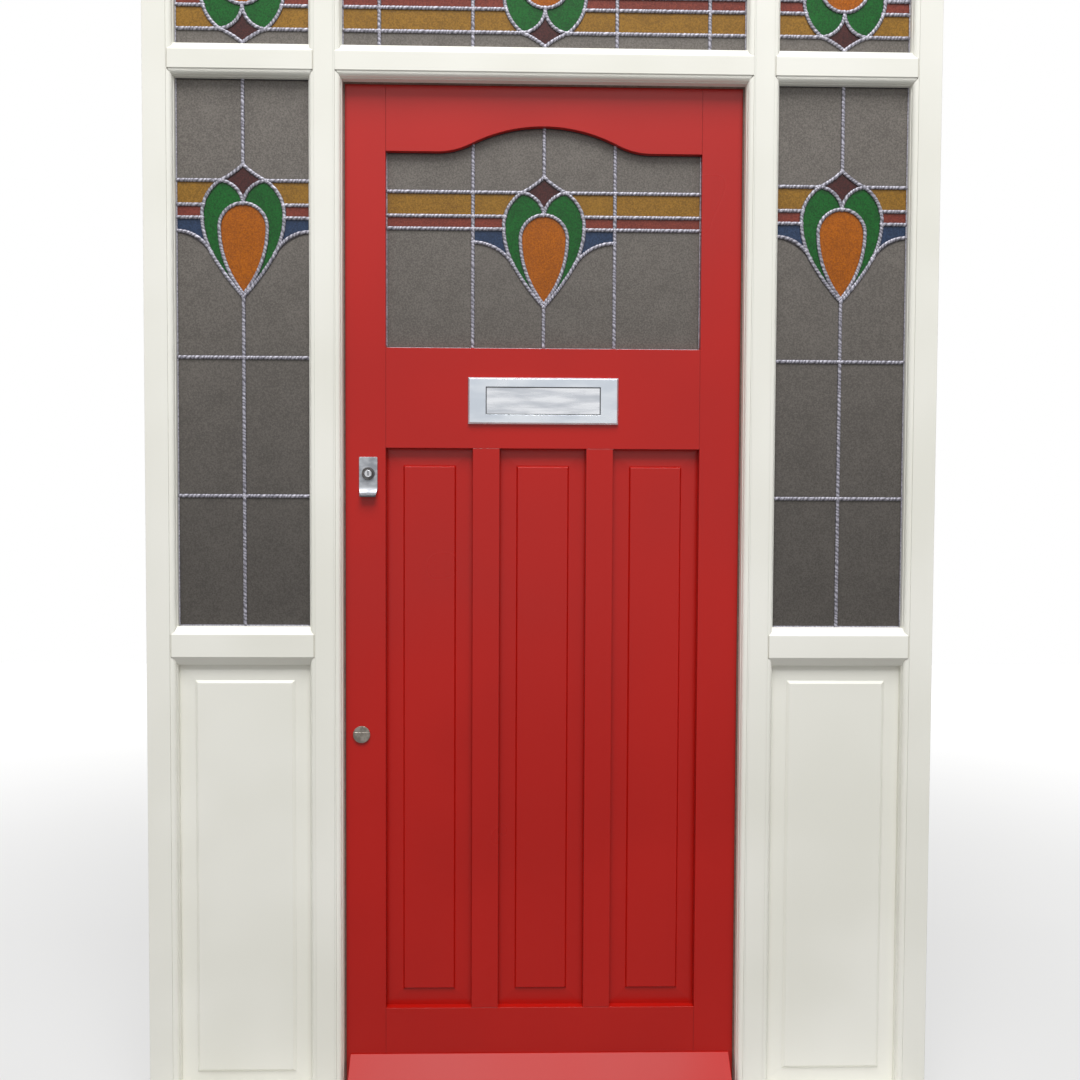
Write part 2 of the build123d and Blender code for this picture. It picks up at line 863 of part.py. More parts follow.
side_panel_back = glass_depth + side_panel_thickness
with BuildPart() as fixed_light_beads:
    for x_middle in (-side_centre, side_centre):
        x_low, x_high = x_middle - sidelight_width / 2, x_middle + sidelight_width / 2
        add(bead_frame(x_low, x_high, side_bottom_z, midrail_bottom_z, side_panel_back))
        add(bead_frame(x_low, x_high, midrail_top_z, transom_soffit, fixed_glass_back))
        add(bead_frame(x_low, x_high, toplight_bottom, toplight_top, fixed_glass_back))
    half = rebate_half - glazing_overlap
    add(bead_frame(-half, half, toplight_bottom, toplight_top, fixed_glass_back))
fixed_light_beads.part.label = "fixed_light_beads"

# The bead over the door light follows the arch.
door_glass_back = door_glass_front + came_thickness
bead_inset = bead_height - glazing_overlap
arch_bead_low = shoulder_z - bead_inset
with BuildPart() as door_glazing_beads:
    half = stile_inner + glazing_overlap
    low = lock_rail_top_z - glazing_overlap
    upright_low = low + bead_height + bead_joint
    add(level_bead(-half, half, low, 1, door_glass_back))
    add(upright_bead(upright_low, arch_bead_low - bead_joint, -half, 1, door_glass_back))
    add(upright_bead(upright_low, arch_bead_low - bead_joint, half, -1, door_glass_back))
    with BuildSketch(facade(door_glass_back)):
        add(door_light_face(glazing_overlap))
        add(door_light_face(-bead_inset), mode=Mode.SUBTRACT)
        with Locations((0, arch_bead_low)):
            Rectangle(4 * half, 2 * leaf_height, align=(Align.CENTER, Align.MAX), mode=Mode.SUBTRACT)
    extrude(amount=-bead_depth)
door_glazing_beads.part.label = "door_glazing_beads"

# DOOR SEAL
with BuildPart() as door_seal:
    bar_depth = leaf_front - running_gap - stop_depth
    top_bar_low = transom_soffit - seal_reveal
    side_bar_height = top_bar_low - running_gap - sill_height
    for side in (-1, 1):
        with BuildSketch(facade(stop_depth)):
            with Locations((side * (door_half - seal_reveal + seal_width / 2), sill_height)):
                Rectangle(seal_width, side_bar_height, align=(Align.CENTER, Align.MIN))
        extrude(amount=-bar_depth)
    with BuildSketch(facade(stop_depth)):
        with Locations((0, top_bar_low)):
            Rectangle(2 * (door_half - seal_reveal + seal_width), seal_width, align=(Align.CENTER, Align.MIN))
    extrude(amount=-bar_depth)
door_seal.part.label = "door_seal"

# DOOR LEAF
# The three panel openings, as their low and high x, between the stiles and the muntins.
muntin_inner = muntin_centre - muntin_width / 2
muntin_outer = muntin_centre + muntin_width / 2
panel_openings = ((-stile_inner, -muntin_outer), (-muntin_inner, muntin_inner), (muntin_outer, stile_inner))

# Everything ploughed and rebated out of the leaf's members for the glass and the panels.
with BuildPart() as leaf_grooves:
    with BuildSketch(facade(door_glass_front)):
        add(door_light_face(glazing_overlap))
    extrude(amount=-leaf_thickness)
    with BuildSketch(facade(panel_front)):
        for x_low, x_high in panel_openings:
            add(rectangle_face(x_low, x_high, bottom_rail_top_z, lock_rail_bottom_z, groove_depth))
    extrude(amount=-panel_tongue)


# A member of the leaf, squared to size and cut for the glass and the panels.
def leaf_member(x_low, x_high, z_low, z_high):
    with BuildPart() as member:
        with BuildSketch(facade(leaf_front)):
            add(rectangle_face(x_low, x_high, z_low, z_high, 0))
        extrude(amount=-leaf_thickness)
        add(leaf_grooves.part, mode=Mode.SUBTRACT)
    return member.part


# Outline of the keyhole: a round eye over a tapering slot.
def keyhole_face():
    with BuildSketch() as keyhole:
        with Locations((deadlock_x, deadlock_z)):
            Circle(keyhole_radius)
            Rectangle(keyhole_radius, keyhole_length, align=(Align.CENTER, Align.MAX))
    return keyhole.sketch


case_middle_x = -leaf_half_width + deadlock_case_width / 2
bolt_middle_x = -leaf_half_width + deadbolt_length / 2
deadbolt_z = deadlock_z + deadbolt_rise

with BuildPart() as door_lock_stile:
    add(leaf_member(-leaf_half_width, -stile_inner, leaf_base, leaf_top))
    with BuildSketch(facade(leaf_front)):
        add(keyhole_face())
    extrude(amount=-leaf_thickness, mode=Mode.SUBTRACT)
    with BuildSketch(facade(leaf_front)):
        with Locations((latch_x, latch_z)):
            Circle(stile_bore_radius)
    extrude(amount=-leaf_thickness, mode=Mode.SUBTRACT)
    with Locations((case_middle_x, leaf_middle, deadlock_z)):
        Box(deadlock_case_width, deadlock_case_thickness, deadlock_case_height, mode=Mode.SUBTRACT)
    with Locations((-leaf_half_width, leaf_middle, deadlock_z)):
        Box(2 * faceplate_thickness, faceplate_width, faceplate_height, mode=Mode.SUBTRACT)
door_lock_stile.part.label = "door_lock_stile"

with BuildPart() as door_hinge_stile:
    add(leaf_member(stile_inner, leaf_half_width, leaf_base, leaf_top))
    with Locations(*[(leaf_half_width, leaf_back, leaf_base + z) for z in hinge_heights]):
        Box(2 * hinge_recess, 2 * hinge_leaf_width, hinge_length, mode=Mode.SUBTRACT)
door_hinge_stile.part.label = "door_hinge_stile"

with BuildPart() as door_top_rail:
    add(leaf_member(-stile_inner, stile_inner, shoulder_z, leaf_top))
    with BuildSketch(facade(leaf_front)):
        add(door_light_face(0))
    extrude(amount=-leaf_thickness, mode=Mode.SUBTRACT)
door_top_rail.part.label = "door_top_rail"

with BuildPart() as door_lock_rail:
    add(leaf_member(-stile_inner, stile_inner, lock_rail_bottom_z, lock_rail_top_z))
    with Locations((0, leaf_middle, plate_z)):
        Box(
            slot_width + 2 * (flap_lip + rail_slot_gap),
            leaf_thickness,
            slot_height + 2 * (flap_lip + rail_slot_gap),
            mode=Mode.SUBTRACT,
        )
door_lock_rail.part.label = "door_lock_rail"

with BuildPart() as door_bottom_rail:
    add(leaf_member(-stile_inner, stile_inner, leaf_base, bottom_rail_top_z))
door_bottom_rail.part.label = "door_bottom_rail"

with BuildPart() as door_muntins:
    add(leaf_member(-muntin_outer, -muntin_inner, bottom_rail_top_z, lock_rail_bottom_z))
    add(leaf_member(muntin_inner, muntin_outer, bottom_rail_top_z, lock_rail_bottom_z))
door_muntins.part.label = "door_muntins"


# A panel with a raised field on both faces, its tongue held in the grooves.
def door_panel(x_low, x_high):
    slope = bevel_angle(panel_bevel, panel_raise)
    tongue_reach = groove_depth - tongue_end_gap
    with BuildPart() as panel:
        with BuildSketch(facade(panel_front)):
            add(rectangle_face(x_low, x_high, bottom_rail_top_z, lock_rail_bottom_z, tongue_reach))
        extrude(amount=-panel_tongue)
        with BuildSketch(facade(panel_front)):
            add(rectangle_face(x_low, x_high, bottom_rail_top_z, lock_rail_bottom_z, -panel_margin))
        extrude(amount=panel_raise, taper=slope)
        with BuildSketch(Plane.XZ.offset(-panel_front - panel_tongue)):
            add(rectangle_face(x_low, x_high, bottom_rail_top_z, lock_rail_bottom_z, -panel_margin))
        extrude(amount=-panel_raise, taper=slope)
    return panel.part


with BuildPart() as door_left_panel:
    add(door_panel(*panel_openings[0]))
door_left_panel.part.label = "door_left_panel"

with BuildPart() as door_centre_panel:
    add(door_panel(*panel_openings[1]))
door_centre_panel.part.label = "door_centre_panel"

with BuildPart() as door_right_panel:
    add(door_panel(*panel_openings[2]))
door_right_panel.part.label = "door_right_panel"

# WEATHERBOARD
board_half = door_half - weatherboard_end_gap
board_low = leaf_base + weatherboard_bottom
board_top = board_low + weatherboard_height
board_nose = leaf_front - weatherboard_depth
board_drip = board_nose + drip_setback
with BuildPart() as weatherboard:
    with BuildSketch(Plane.YZ.offset(-board_half)):
        with BuildLine():
            Polyline(
                (leaf_front, board_low),
                (leaf_front, board_top),
                (leaf_front - weatherboard_ledge, board_top),
                (board_nose, board_low + weatherboard_front),
                (board_nose, board_low),
                (board_drip, board_low),
                (board_drip, board_low + drip_depth),
                (board_drip + drip_width, board_low + drip_depth),
                (board_drip + drip_width, board_low),
                close=True,
            )
        make_face()
    extrude(amount=2 * board_half)
    nose_edges = weatherboard.edges().filter_by(Axis.X).group_by(Axis.Y)[0]
    fillet(nose_edges.sort_by(Axis.Z)[-1], radius=weatherboard_nose_radius)
    fillet(weatherboard.edges().filter_by(Axis.X).group_by(Axis.Y)[0].sort_by(Axis.Z)[0], radius=2)
weatherboard.part.label = "weatherboard"

# HINGES
# One half of a hinge: its plate on the given side of the axis and its own knuckles.
def hinge_half(side, middle_z, knuckles, bore):
    plate_x = hinge_x + side * (knuckle_gap + hinge_leaf_thickness / 2)
    plate_back = leaf_back - hinge_knuckle_clearance
    pitch = hinge_length / hinge_knuckles
    length = pitch - hinge_knuckle_clearance
    with BuildPart() as half:
        with Locations((plate_x, plate_back, middle_z)):
            Box(
                hinge_leaf_thickness,
                hinge_leaf_width - hinge_knuckle_clearance,
                hinge_length,
                align=(Align.CENTER, Align.MAX, Align.CENTER),
            )
        for index in knuckles:
            knuckle_z = middle_z + (index - hinge_knuckles / 2) * pitch + hinge_knuckle_clearance / 2
            with BuildSketch(Plane.XY.offset(knuckle_z)):
                with Locations((plate_x, plate_back)):
                    Rectangle(hinge_leaf_thickness, hinge_y - plate_back, align=(Align.CENTER, Align.MIN))
                with Locations((hinge_x, hinge_y)):
                    Circle(hinge_knuckle_radius)
                    Circle(bore, mode=Mode.SUBTRACT)
            extrude(amount=length)
    return half.part


with BuildPart() as hinge_frame_leaves:
    for z in hinge_heights:
        add(hinge_half(1, leaf_base + z, (0, 2), hinge_pin_radius + hinge_pin_clearance))
hinge_frame_leaves.part.label = "hinge_frame_leaves"

with BuildPart() as hinge_door_leaves:
    for z in hinge_heights:
        add(hinge_half(-1, leaf_base + z, (1,), hinge_pin_radius))
hinge_door_leaves.part.label = "hinge_door_leaves"

with BuildPart() as hinge_pins:
    for z in hinge_heights:
        with Locations((hinge_x, hinge_y, leaf_base + z)):
            Cylinder(hinge_pin_radius, hinge_length)
        with Locations((hinge_x, hinge_y, leaf_base + z + hinge_length / 2)):
            Cylinder(pin_head_radius, pin_head_height, align=(Align.CENTER, Align.CENTER, Align.MIN))
hinge_pins.part.label = "hinge_pins"

# LETTER PLATE
plate_face = leaf_front - plate_thickness
flap_front = plate_face + flap_setback + running_gap
flap_axis_y = flap_front + flap_thickness / 2
pocket_half_width = slot_width / 2 + flap_lip
pocket_half_height = slot_height / 2 + flap_lip
flap_top = plate_z + pocket_half_height - flap_gap
flap_axis_z = flap_top - flap_thickness / 2
flap_bottom = plate_z - pocket_half_height + flap_gap
flap_half = pocket_half_width - flap_gap

with BuildPart() as letter_plate:
    with Locations((0, leaf_front, plate_z)):
        Box(plate_width, plate_thickness, plate_height, align=(Align.CENTER, Align.MAX, Align.CENTER))
    chamfer(letter_plate.faces().sort_by(Axis.Y)[0].edges(), length=plate_bevel)
    with Locations((0, leaf_front, plate_z)):
        Box(slot_width, 4 * plate_thickness, slot_height, mode=Mode.SUBTRACT)
        Box(
            2 * pocket_half_width,
            2 * (plate_thickness - flap_setback),
            2 * pocket_half_height,
            mode=Mode.SUBTRACT,
        )
    with Locations((0, flap_axis_y, flap_axis_z)):
        Cylinder(
            flap_pin_radius + flap_pin_clearance,
            2 * (flap_half + flap_pin_length + running_gap),
            rotation=along_x,
            mode=Mode.SUBTRACT,
        )
    with Locations((0, leaf_back, plate_z)):
        Box(
            inner_plate_width,
            inner_plate_thickness,
            inner_plate_height,
            align=(Align.CENTER, Align.MIN, Align.CENTER),
        )
        Box(
            2 * (pocket_half_width + rail_slot_gap),
            4 * inner_plate_thickness,
            2 * (pocket_half_height + rail_slot_gap),
            mode=Mode.SUBTRACT,
        )
letter_plate.part.label = "letter_plate"

# The flap has a rounded top edge that turns on two stub pins.
with BuildPart() as letter_flap:
    with Locations((0, flap_axis_y, (flap_bottom + flap_axis_z) / 2)):
        Box(2 * flap_half, flap_thickness, flap_axis_z - flap_bottom)
    with Locations((0, flap_axis_y, flap_axis_z)):
        Cylinder(flap_thickness / 2, 2 * flap_half, rotation=along_x)
        Cylinder(flap_pin_radius, 2 * (flap_half + flap_pin_length), rotation=along_x)
letter_flap.part.label = "letter_flap"

# CYLINDER PULL
pull_front = leaf_front - pull_thickness
pull_top = latch_z + pull_height / 2 - pull_drop
pull_bottom = pull_top - pull_height
grip_top = pull_bottom + pull_grip_height
nose_front = leaf_front - cylinder_nose
grip_radius = (pull_lip**2 + pull_grip_height**2) / (2 * pull_lip)
grip_axis = pull_front - grip_radius
grip_growth = (grip_radius + pull_thickness) / grip_radius
lip_outer = (pull_front - pull_lip, pull_bottom)
lip_inner = (
    grip_axis + (lip_outer[0] - grip_axis) * grip_growth,
    grip_top + (lip_outer[1] - grip_top) * grip_growth,
)

# A flat plate that curls out at its foot into a lip, with room for a finger behind it.
with BuildPart() as cylinder_pull:
    with BuildSketch(Plane.YZ.offset(latch_x - pull_width / 2)):
        with BuildLine():
            Polyline(
                (leaf_front, grip_top),
                (leaf_front, pull_top),
                (pull_front, pull_top),
                (pull_front, grip_top),
            )
            TangentArc((pull_front, grip_top), lip_outer, tangent=(0, -1))
            Line(lip_outer, lip_inner)
            TangentArc((leaf_front, grip_top), lip_inner, tangent=(0, -1))
        make_face()
    extrude(amount=pull_width)
    with BuildSketch(facade(leaf_front)):
        with BuildLine():
            Polyline(
                (latch_x - pull_width / 2, pull_top),
                (latch_x + pull_width / 2, pull_top),
                (latch_x + pull_width / 2, grip_top - pull_shoulder),
                (latch_x + pull_width / 2 - pull_taper, pull_bottom - pull_thickness),
                (latch_x - pull_width / 2 + pull_taper, pull_bottom - pull_thickness),
                (latch_x - pull_width / 2, grip_top - pull_shoulder),
                close=True,
            )
        make_face()
    extrude(amount=pull_lip + 2 * pull_thickness, mode=Mode.INTERSECT)
    fillet(cylinder_pull.edges().filter_by(Axis.Y).group_by(Axis.Z)[-1], radius=pull_corner_radius)
    with Locations((latch_x, leaf_front, latch_z)):
        Cylinder(cylinder_radius, 4 * pull_thickness, rotation=along_y, mode=Mode.SUBTRACT)
cylinder_pull.part.label = "cylinder_pull"

# The cylinder's nose has a sunk ring round its middle; its body sits in the bore of the stile.
with BuildPart() as rim_cylinder:
    with Locations((latch_x, nose_front, latch_z)):
        Cylinder(cylinder_radius, cylinder_nose, rotation=along_y, align=into_house)
    with Locations((latch_x, leaf_front, latch_z)):
        Cylinder(
            stile_bore_radius, leaf_thickness, rotation=along_y, align=into_house
        )
    with BuildSketch(facade(nose_front)):
        with Locations((latch_x, latch_z)):
            Circle(nose_ring_outer)
            Circle(nose_ring_inner, mode=Mode.SUBTRACT)
    extrude(amount=-nose_ring_depth, mode=Mode.SUBTRACT)
    with Locations((latch_x, nose_front, latch_z)):
        Cylinder(plug_radius + plug_clearance, 4 * leaf_thickness, rotation=along_y, mode=Mode.SUBTRACT)
rim_cylinder.part.label = "rim_cylinder"

plug_front = nose_front - plug_proud
tail_end = leaf_back + case_depth / 2
with BuildPart() as cylinder_plug:
    with Locations((latch_x, plug_front, latch_z)):
        Cylinder(plug_radius, plug_depth, rotation=along_y, align=into_house)
    with Locations((latch_x, tail_end, latch_z)):
        Box(
            tailbar_width,
            tail_end - plug_front - plug_depth,
            tailbar_thickness,
            align=(Align.CENTER, Align.MAX, Align.CENTER),
        )
    with Locations((latch_x, plug_front, latch_z)):
        Box(keyway_width, plug_depth, keyway_height, mode=Mode.SUBTRACT)
cylinder_plug.part.label = "cylinder_plug"

# NIGHTLATCH
case_x = -leaf_half_width + case_edge_gap
case_back = leaf_back + case_depth
latch_case_x = case_x + case_width / 2
latch_y = leaf_back + case_depth / 2
bolt_back = latch_y + latch_bolt_depth / 2
knob_x = latch_x - knob_offset
slot_x = knob_x + latch_throw / 2
crank_z = latch_z - sqrt(crank_radius**2 - (latch_throw / 2) ** 2)
tail_low = latch_z - crank_radius - crank_pin_radius - latch_tail_rim

# The bolt has a plate behind it, slotted upright for the crank of the knob.
with BuildPart() as latch_bolt:
    with Locations((case_x, latch_y, latch_z)):
        Box(
            latch_bolt_length,
            latch_bolt_depth,
            latch_bolt_height,
            align=(Align.MIN, Align.CENTER, Align.CENTER),
        )
    nose_edges = latch_bolt.edges().filter_by(Axis.Z).group_by(Axis.X)[0]
    chamfer(nose_edges.sort_by(Axis.Y)[0], length=latch_bolt_bevel)
    with BuildSketch(facade(bolt_back)):
        add(rectangle_face(
            case_x + latch_bolt_length - latch_bolt_depth, slot_x + latch_tail_rim + crank_pin_radius,
            tail_low, latch_z + latch_bolt_height / 2, 0,
        ))
    extrude(amount=latch_tail_depth)
    with BuildSketch(facade(bolt_back)):
        add(rectangle_face(
            slot_x, slot_x, latch_z - crank_radius, crank_z, crank_pin_radius + latch_clearance
        ))
    extrude(amount=latch_tail_depth, mode=Mode.SUBTRACT)
latch_bolt.part.label = "latch_bolt"

arm_front = bolt_back + crank_arm_gap
crank_pin_length = latch_tail_depth + crank_arm_gap - latch_clearance
with BuildPart() as latch_knob:
    with BuildSketch(facade(arm_front)):
        with Locations((knob_x, latch_z)):
            Circle(knob_stem_radius)
        with Locations((slot_x, crank_z)):
            Circle(crank_arm_radius)
        make_hull()
    extrude(amount=-crank_arm_thickness)
    with Locations((slot_x, arm_front, crank_z)):
        Cylinder(crank_pin_radius, crank_pin_length, rotation=along_y, align=to_street)
    with Locations((knob_x, arm_front, latch_z)):
        Cylinder(
            knob_stem_radius,
            case_back - arm_front + knob_neck_height,
            rotation=along_y,
            align=into_house,
        )
    with Locations((knob_x, case_back + running_gap, latch_z)):
        Cylinder(knob_neck_radius, knob_neck_height, rotation=along_y, align=into_house)
    with Locations((knob_x, case_back + knob_neck_height, latch_z)):
        Cylinder(knob_radius, knob_height, rotation=along_y, align=into_house)
    chamfer(latch_knob.edges().sort_by(Axis.Y)[-1], length=knob_edge_bevel)
latch_knob.part.label = "latch_knob"

with BuildPart() as latch_case:
    with Locations((latch_case_x, leaf_back, latch_z)):
        Box(case_width, case_depth, case_height, align=(Align.CENTER, Align.MIN, Align.CENTER))
    fillet(latch_case.faces().sort_by(Axis.Y)[-1].edges(), radius=case_edge_radius)
    with Locations((case_x + latch_guide_length, latch_y, latch_z)):
        Box(
            case_width - latch_guide_length - case_wall,
            case_depth - 2 * case_wall,
            case_height - 2 * case_wall,
            align=(Align.MIN, Align.CENTER, Align.CENTER),
            mode=Mode.SUBTRACT,
        )
    with Locations((case_x, latch_y, latch_z)):
        Box(
            2 * (latch_guide_length + case_wall),
            latch_bolt_depth + 2 * latch_clearance,
            latch_bolt_height + 2 * latch_clearance,
            mode=Mode.SUBTRACT,
        )
    with Locations((knob_x, case_back, latch_z)):
        Cylinder(knob_stem_radius + latch_clearance, 4 * case_wall, rotation=along_y, mode=Mode.SUBTRACT)
    with Locations((latch_x, leaf_back, latch_z)):
        Cylinder(tail_hole_radius, 4 * case_wall, rotation=along_y, mode=Mode.SUBTRACT)
latch_case.part.label = "latch_case"

keep_face = -rebate_half - keep_setback
with BuildPart() as latch_keep:
    with Locations((keep_face, leaf_back, latch_z)):
        Box(keep_width, case_depth, case_height, align=(Align.MAX, Align.MIN, Align.CENTER))
    keep_corner = latch_keep.edges().filter_by(Axis.Z).group_by(Axis.Y)[-1]
    fillet(keep_corner, radius=case_edge_radius)
    with Locations((keep_face, latch_y, latch_z)):
        Box(
            2 * (latch_throw + mortise_clearance),
            latch_bolt_depth + 2 * mortise_clearance,
            latch_bolt_height + 2 * mortise_clearance,
            mode=Mode.SUBTRACT,
        )
latch_keep.part.label = "latch_keep"

# DEADLOCK
with BuildPart() as deadbolt:
    with Locations((bolt_middle_x, leaf_middle, deadbolt_z)):
        Box(deadbolt_length, deadbolt_thickness, deadbolt_height)
deadbolt.part.label = "deadbolt"

with BuildPart() as deadlock_case:
    with Locations((case_middle_x, leaf_middle, deadlock_z)):
        Box(deadlock_case_width, deadlock_case_thickness, deadlock_case_height)
    with Locations((-leaf_half_width, leaf_middle, deadlock_z)):
        Box(
            faceplate_thickness,
            faceplate_width,
            faceplate_height,
            align=(Align.MIN, Align.CENTER, Align.CENTER),
        )
    with Locations((bolt_middle_x, leaf_middle, deadbolt_z)):
        Box(
            deadbolt_length + 2 * deadbolt_clearance,
            deadbolt_thickness + 2 * deadbolt_clearance,
            deadbolt_height + 2 * deadbolt_clearance,
            mode=Mode.SUBTRACT,
        )
    with BuildSketch(facade(leaf_front)):
        add(keyhole_face())
    extrude(amount=-leaf_thickness, mode=Mode.SUBTRACT)
deadlock_case.part.label = "deadlock_case"

with BuildPart() as deadbolt_keep:
    with Locations((-rebate_half, leaf_middle, deadlock_z)):
        Box(
            faceplate_thickness,
            faceplate_width,
            faceplate_height,
            align=(Align.MAX, Align.CENTER, Align.CENTER),
        )
    with Locations((-rebate_half, leaf_middle, deadbolt_z)):
        Box(
            4 * faceplate_thickness,
            deadbolt_thickness + 2 * mortise_clearance,
            deadbolt_height + 2 * mortise_clearance,
            mode=Mode.SUBTRACT,
        )
deadbolt_keep.part.label = "deadbolt_keep"

# A rose on each face of the leaf; the outer one carries the headed pin of the swinging cover.
rose_face = leaf_front - rose_thickness
cover_back = rose_face - running_gap
cover_face = cover_back - cover_thickness
cover_pivot_z = deadlock_z + cover_pivot_rise
with BuildPart() as key_roses:
    for face_y in (rose_face, leaf_back):
        with BuildSketch(facade(face_y)):
            with Locations((deadlock_x, deadlock_z)):
                Circle(rose_radius)
            add(keyhole_face(), mode=Mode.SUBTRACT)
        extrude(amount=-rose_thickness)
    with Locations((deadlock_x, rose_face, cover_pivot_z)):
        Cylinder(
            cover_pin_radius,
            rose_face - cover_face + running_gap,
            rotation=along_y,
            align=to_street,
        )
    with Locations((deadlock_x, cover_face - running_gap, cover_pivot_z)):
        Cylinder(
            cover_head_radius, cover_head_height, rotation=along_y, align=to_street
        )
key_roses.part.label = "key_roses"

with BuildPart() as keyhole_cover:
    with BuildSketch(facade(cover_face)):
        with Locations((deadlock_x, deadlock_z)):
            Circle(cover_radius)
    extrude(amount=-cover_thickness)
    with Locations((deadlock_x, cover_face, deadlock_z + cover_step_rise)):
        Box(
            2 * cover_radius,
            2 * cover_step_depth,
            2 * cover_radius,
            align=(Align.CENTER, Align.CENTER, Align.MIN),
            mode=Mode.SUBTRACT,
        )
    with Locations((deadlock_x, cover_face, cover_pivot_z)):
        Cylinder(
            cover_pin_radius + cover_pin_clearance,
            4 * cover_thickness,
            rotation=along_y,
            mode=Mode.SUBTRACT,
        )
keyhole_cover.part.label = "keyhole_cover"

exported = [
    sill, head, left_jamb, right_jamb, left_mullion, right_mullion, left_transom, right_transom,
    left_midrail, right_midrail, centre_transom, side_bottom_rails, door_stops, side_panels,
    fixed_light_beads, fixed_light_lead, door_seal, hinge_frame_leaves, latch_keep, deadbolt_keep,
    door_lock_stile, door_hinge_stile, door_top_rail, door_lock_rail, door_bottom_rail, door_muntins,
    door_left_panel, door_centre_panel, door_right_panel, weatherboard, door_glazing_beads, door_lead,
    *glass_nodes, hinge_door_leaves, hinge_pins, letter_plate, letter_flap, cylinder_pull, rim_cylinder,
    cylinder_plug, latch_case, latch_bolt, latch_knob, deadlock_case, deadbolt, key_roses, keyhole_cover,
]
for piece in exported:
    export_step(piece.part, "parts/" + piece.part.label + ".step")
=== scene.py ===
import bpy
import bmesh
import math
import numpy as np
from mathutils import Matrix, Vector


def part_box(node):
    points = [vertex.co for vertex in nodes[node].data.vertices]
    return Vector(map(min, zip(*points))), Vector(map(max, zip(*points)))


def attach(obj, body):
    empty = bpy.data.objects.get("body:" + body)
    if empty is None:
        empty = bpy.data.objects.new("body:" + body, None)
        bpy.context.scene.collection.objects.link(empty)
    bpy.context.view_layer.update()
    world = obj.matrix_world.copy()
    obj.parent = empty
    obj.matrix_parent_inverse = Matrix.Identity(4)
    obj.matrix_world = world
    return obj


# Looks of the panelled front door: paint, glass, lead and metal, with the lead's rounded face,
# its solder joints, the slopes of the panel margins and the screws added. Metres, in the packed
# part's own frame: X to the right seen from the street, Y into the house, Z up.

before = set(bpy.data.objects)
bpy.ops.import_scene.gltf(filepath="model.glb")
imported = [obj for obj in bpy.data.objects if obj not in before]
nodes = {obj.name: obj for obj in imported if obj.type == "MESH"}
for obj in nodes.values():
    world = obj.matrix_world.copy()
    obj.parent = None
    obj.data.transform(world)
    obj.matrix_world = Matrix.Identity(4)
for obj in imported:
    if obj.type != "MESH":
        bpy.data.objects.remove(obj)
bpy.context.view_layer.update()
print("frame loaded:", len(nodes), "nodes")


# one coordinate of a node's box, at its lowest corner (0) or its highest (1)
def place(name, corner, axis):
    return getattr(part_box(name)[corner], axis)


def midway(name, axis):
    return (place(name, 0, axis) + place(name, 1, axis)) / 2


# a node group with inputs (label, kind, value) and outputs (label, kind)
def newGroup(name, inputs, outputs):
    tree = bpy.data.node_groups.new(name, "ShaderNodeTree")
    for label, kind, value in inputs:
        socket = tree.interface.new_socket(label, in_out="INPUT", socket_type="NodeSocket" + kind)
        socket.default_value = value
    for label, kind in outputs:
        tree.interface.new_socket(label, in_out="OUTPUT", socket_type="NodeSocket" + kind)
    return tree, tree.nodes.new("NodeGroupInput"), tree.nodes.new("NodeGroupOutput")


# links the socket where the value is another node's output, and sets it otherwise
def feed(tree, socket, value):
    if isinstance(value, bpy.types.NodeSocket):
        tree.links.new(value, socket)
    else:
        socket.default_value = value


def calc(tree, operation, *values):
    node = tree.nodes.new("ShaderNodeMath")
    node.operation = operation
    for socket, value in zip(node.inputs, values):
        feed(tree, socket, value)
    return node.outputs[0]


def noise(tree, vector, scale, detail=2.0, rough=0.5):
    node = tree.nodes.new("ShaderNodeTexNoise")
    feed(tree, node.inputs["Vector"], vector)
    feed(tree, node.inputs["Scale"], scale)
    feed(tree, node.inputs["Detail"], detail)
    feed(tree, node.inputs["Roughness"], rough)
    return node.outputs["Fac"]


def remap(tree, value, low, high, newLow=0.0, newHigh=1.0, smooth=True):
    node = tree.nodes.new("ShaderNodeMapRange")
    node.interpolation_type = "SMOOTHSTEP" if smooth else "LINEAR"
    for socket, number in zip(node.inputs, (value, low, high, newLow, newHigh)):
        feed(tree, socket, number)
    return node.outputs["Result"]


# sockets 0, 6 and 7 of a Mix node take the factor and the two colours, and 2 gives the colour
def blendColour(tree, factor, first, second, mode="MIX"):
    node = tree.nodes.new("ShaderNodeMix")
    node.data_type = "RGBA"
    node.blend_type = mode
    for index, value in ((0, factor), (6, first), (7, second)):
        feed(tree, node.inputs[index], value)
    return node.outputs[2]


# the dark tone below the span of values, the light one above it, a blend inside it
def twoTones(tree, value, span, dark, light, smooth=True):
    return blendColour(tree, remap(tree, value, *span, smooth=smooth), dark, light)


def objectPoint(tree):
    return tree.nodes.new("ShaderNodeTexCoord").outputs["Object"]


def splitPoint(tree, vector):
    node = tree.nodes.new("ShaderNodeSeparateXYZ")
    feed(tree, node.inputs[0], vector)
    return node.outputs


# the point times a vector: noise read there is drawn out where the vector is small
def stretchPoint(tree, point, stretch):
    node = tree.nodes.new("ShaderNodeVectorMath")
    node.operation = "MULTIPLY"
    feed(tree, node.inputs[0], point)
    feed(tree, node.inputs[1], stretch)
    return node.outputs[0]


def useGroup(tree, group, **values):
    node = tree.nodes.new("ShaderNodeGroup")
    node.node_tree = group
    for label, value in values.items():
        feed(tree, node.inputs[label], value)
    return node.outputs


# linear colour of an 8-bit screen colour
def screen(red, green, blue):
    part = np.array([red, green, blue]) / 255
    linear = np.where(part <= 0.04045, part / 12.92, ((part + 0.055) / 1.055) ** 2.4)
    return (*linear.tolist(), 1.0)


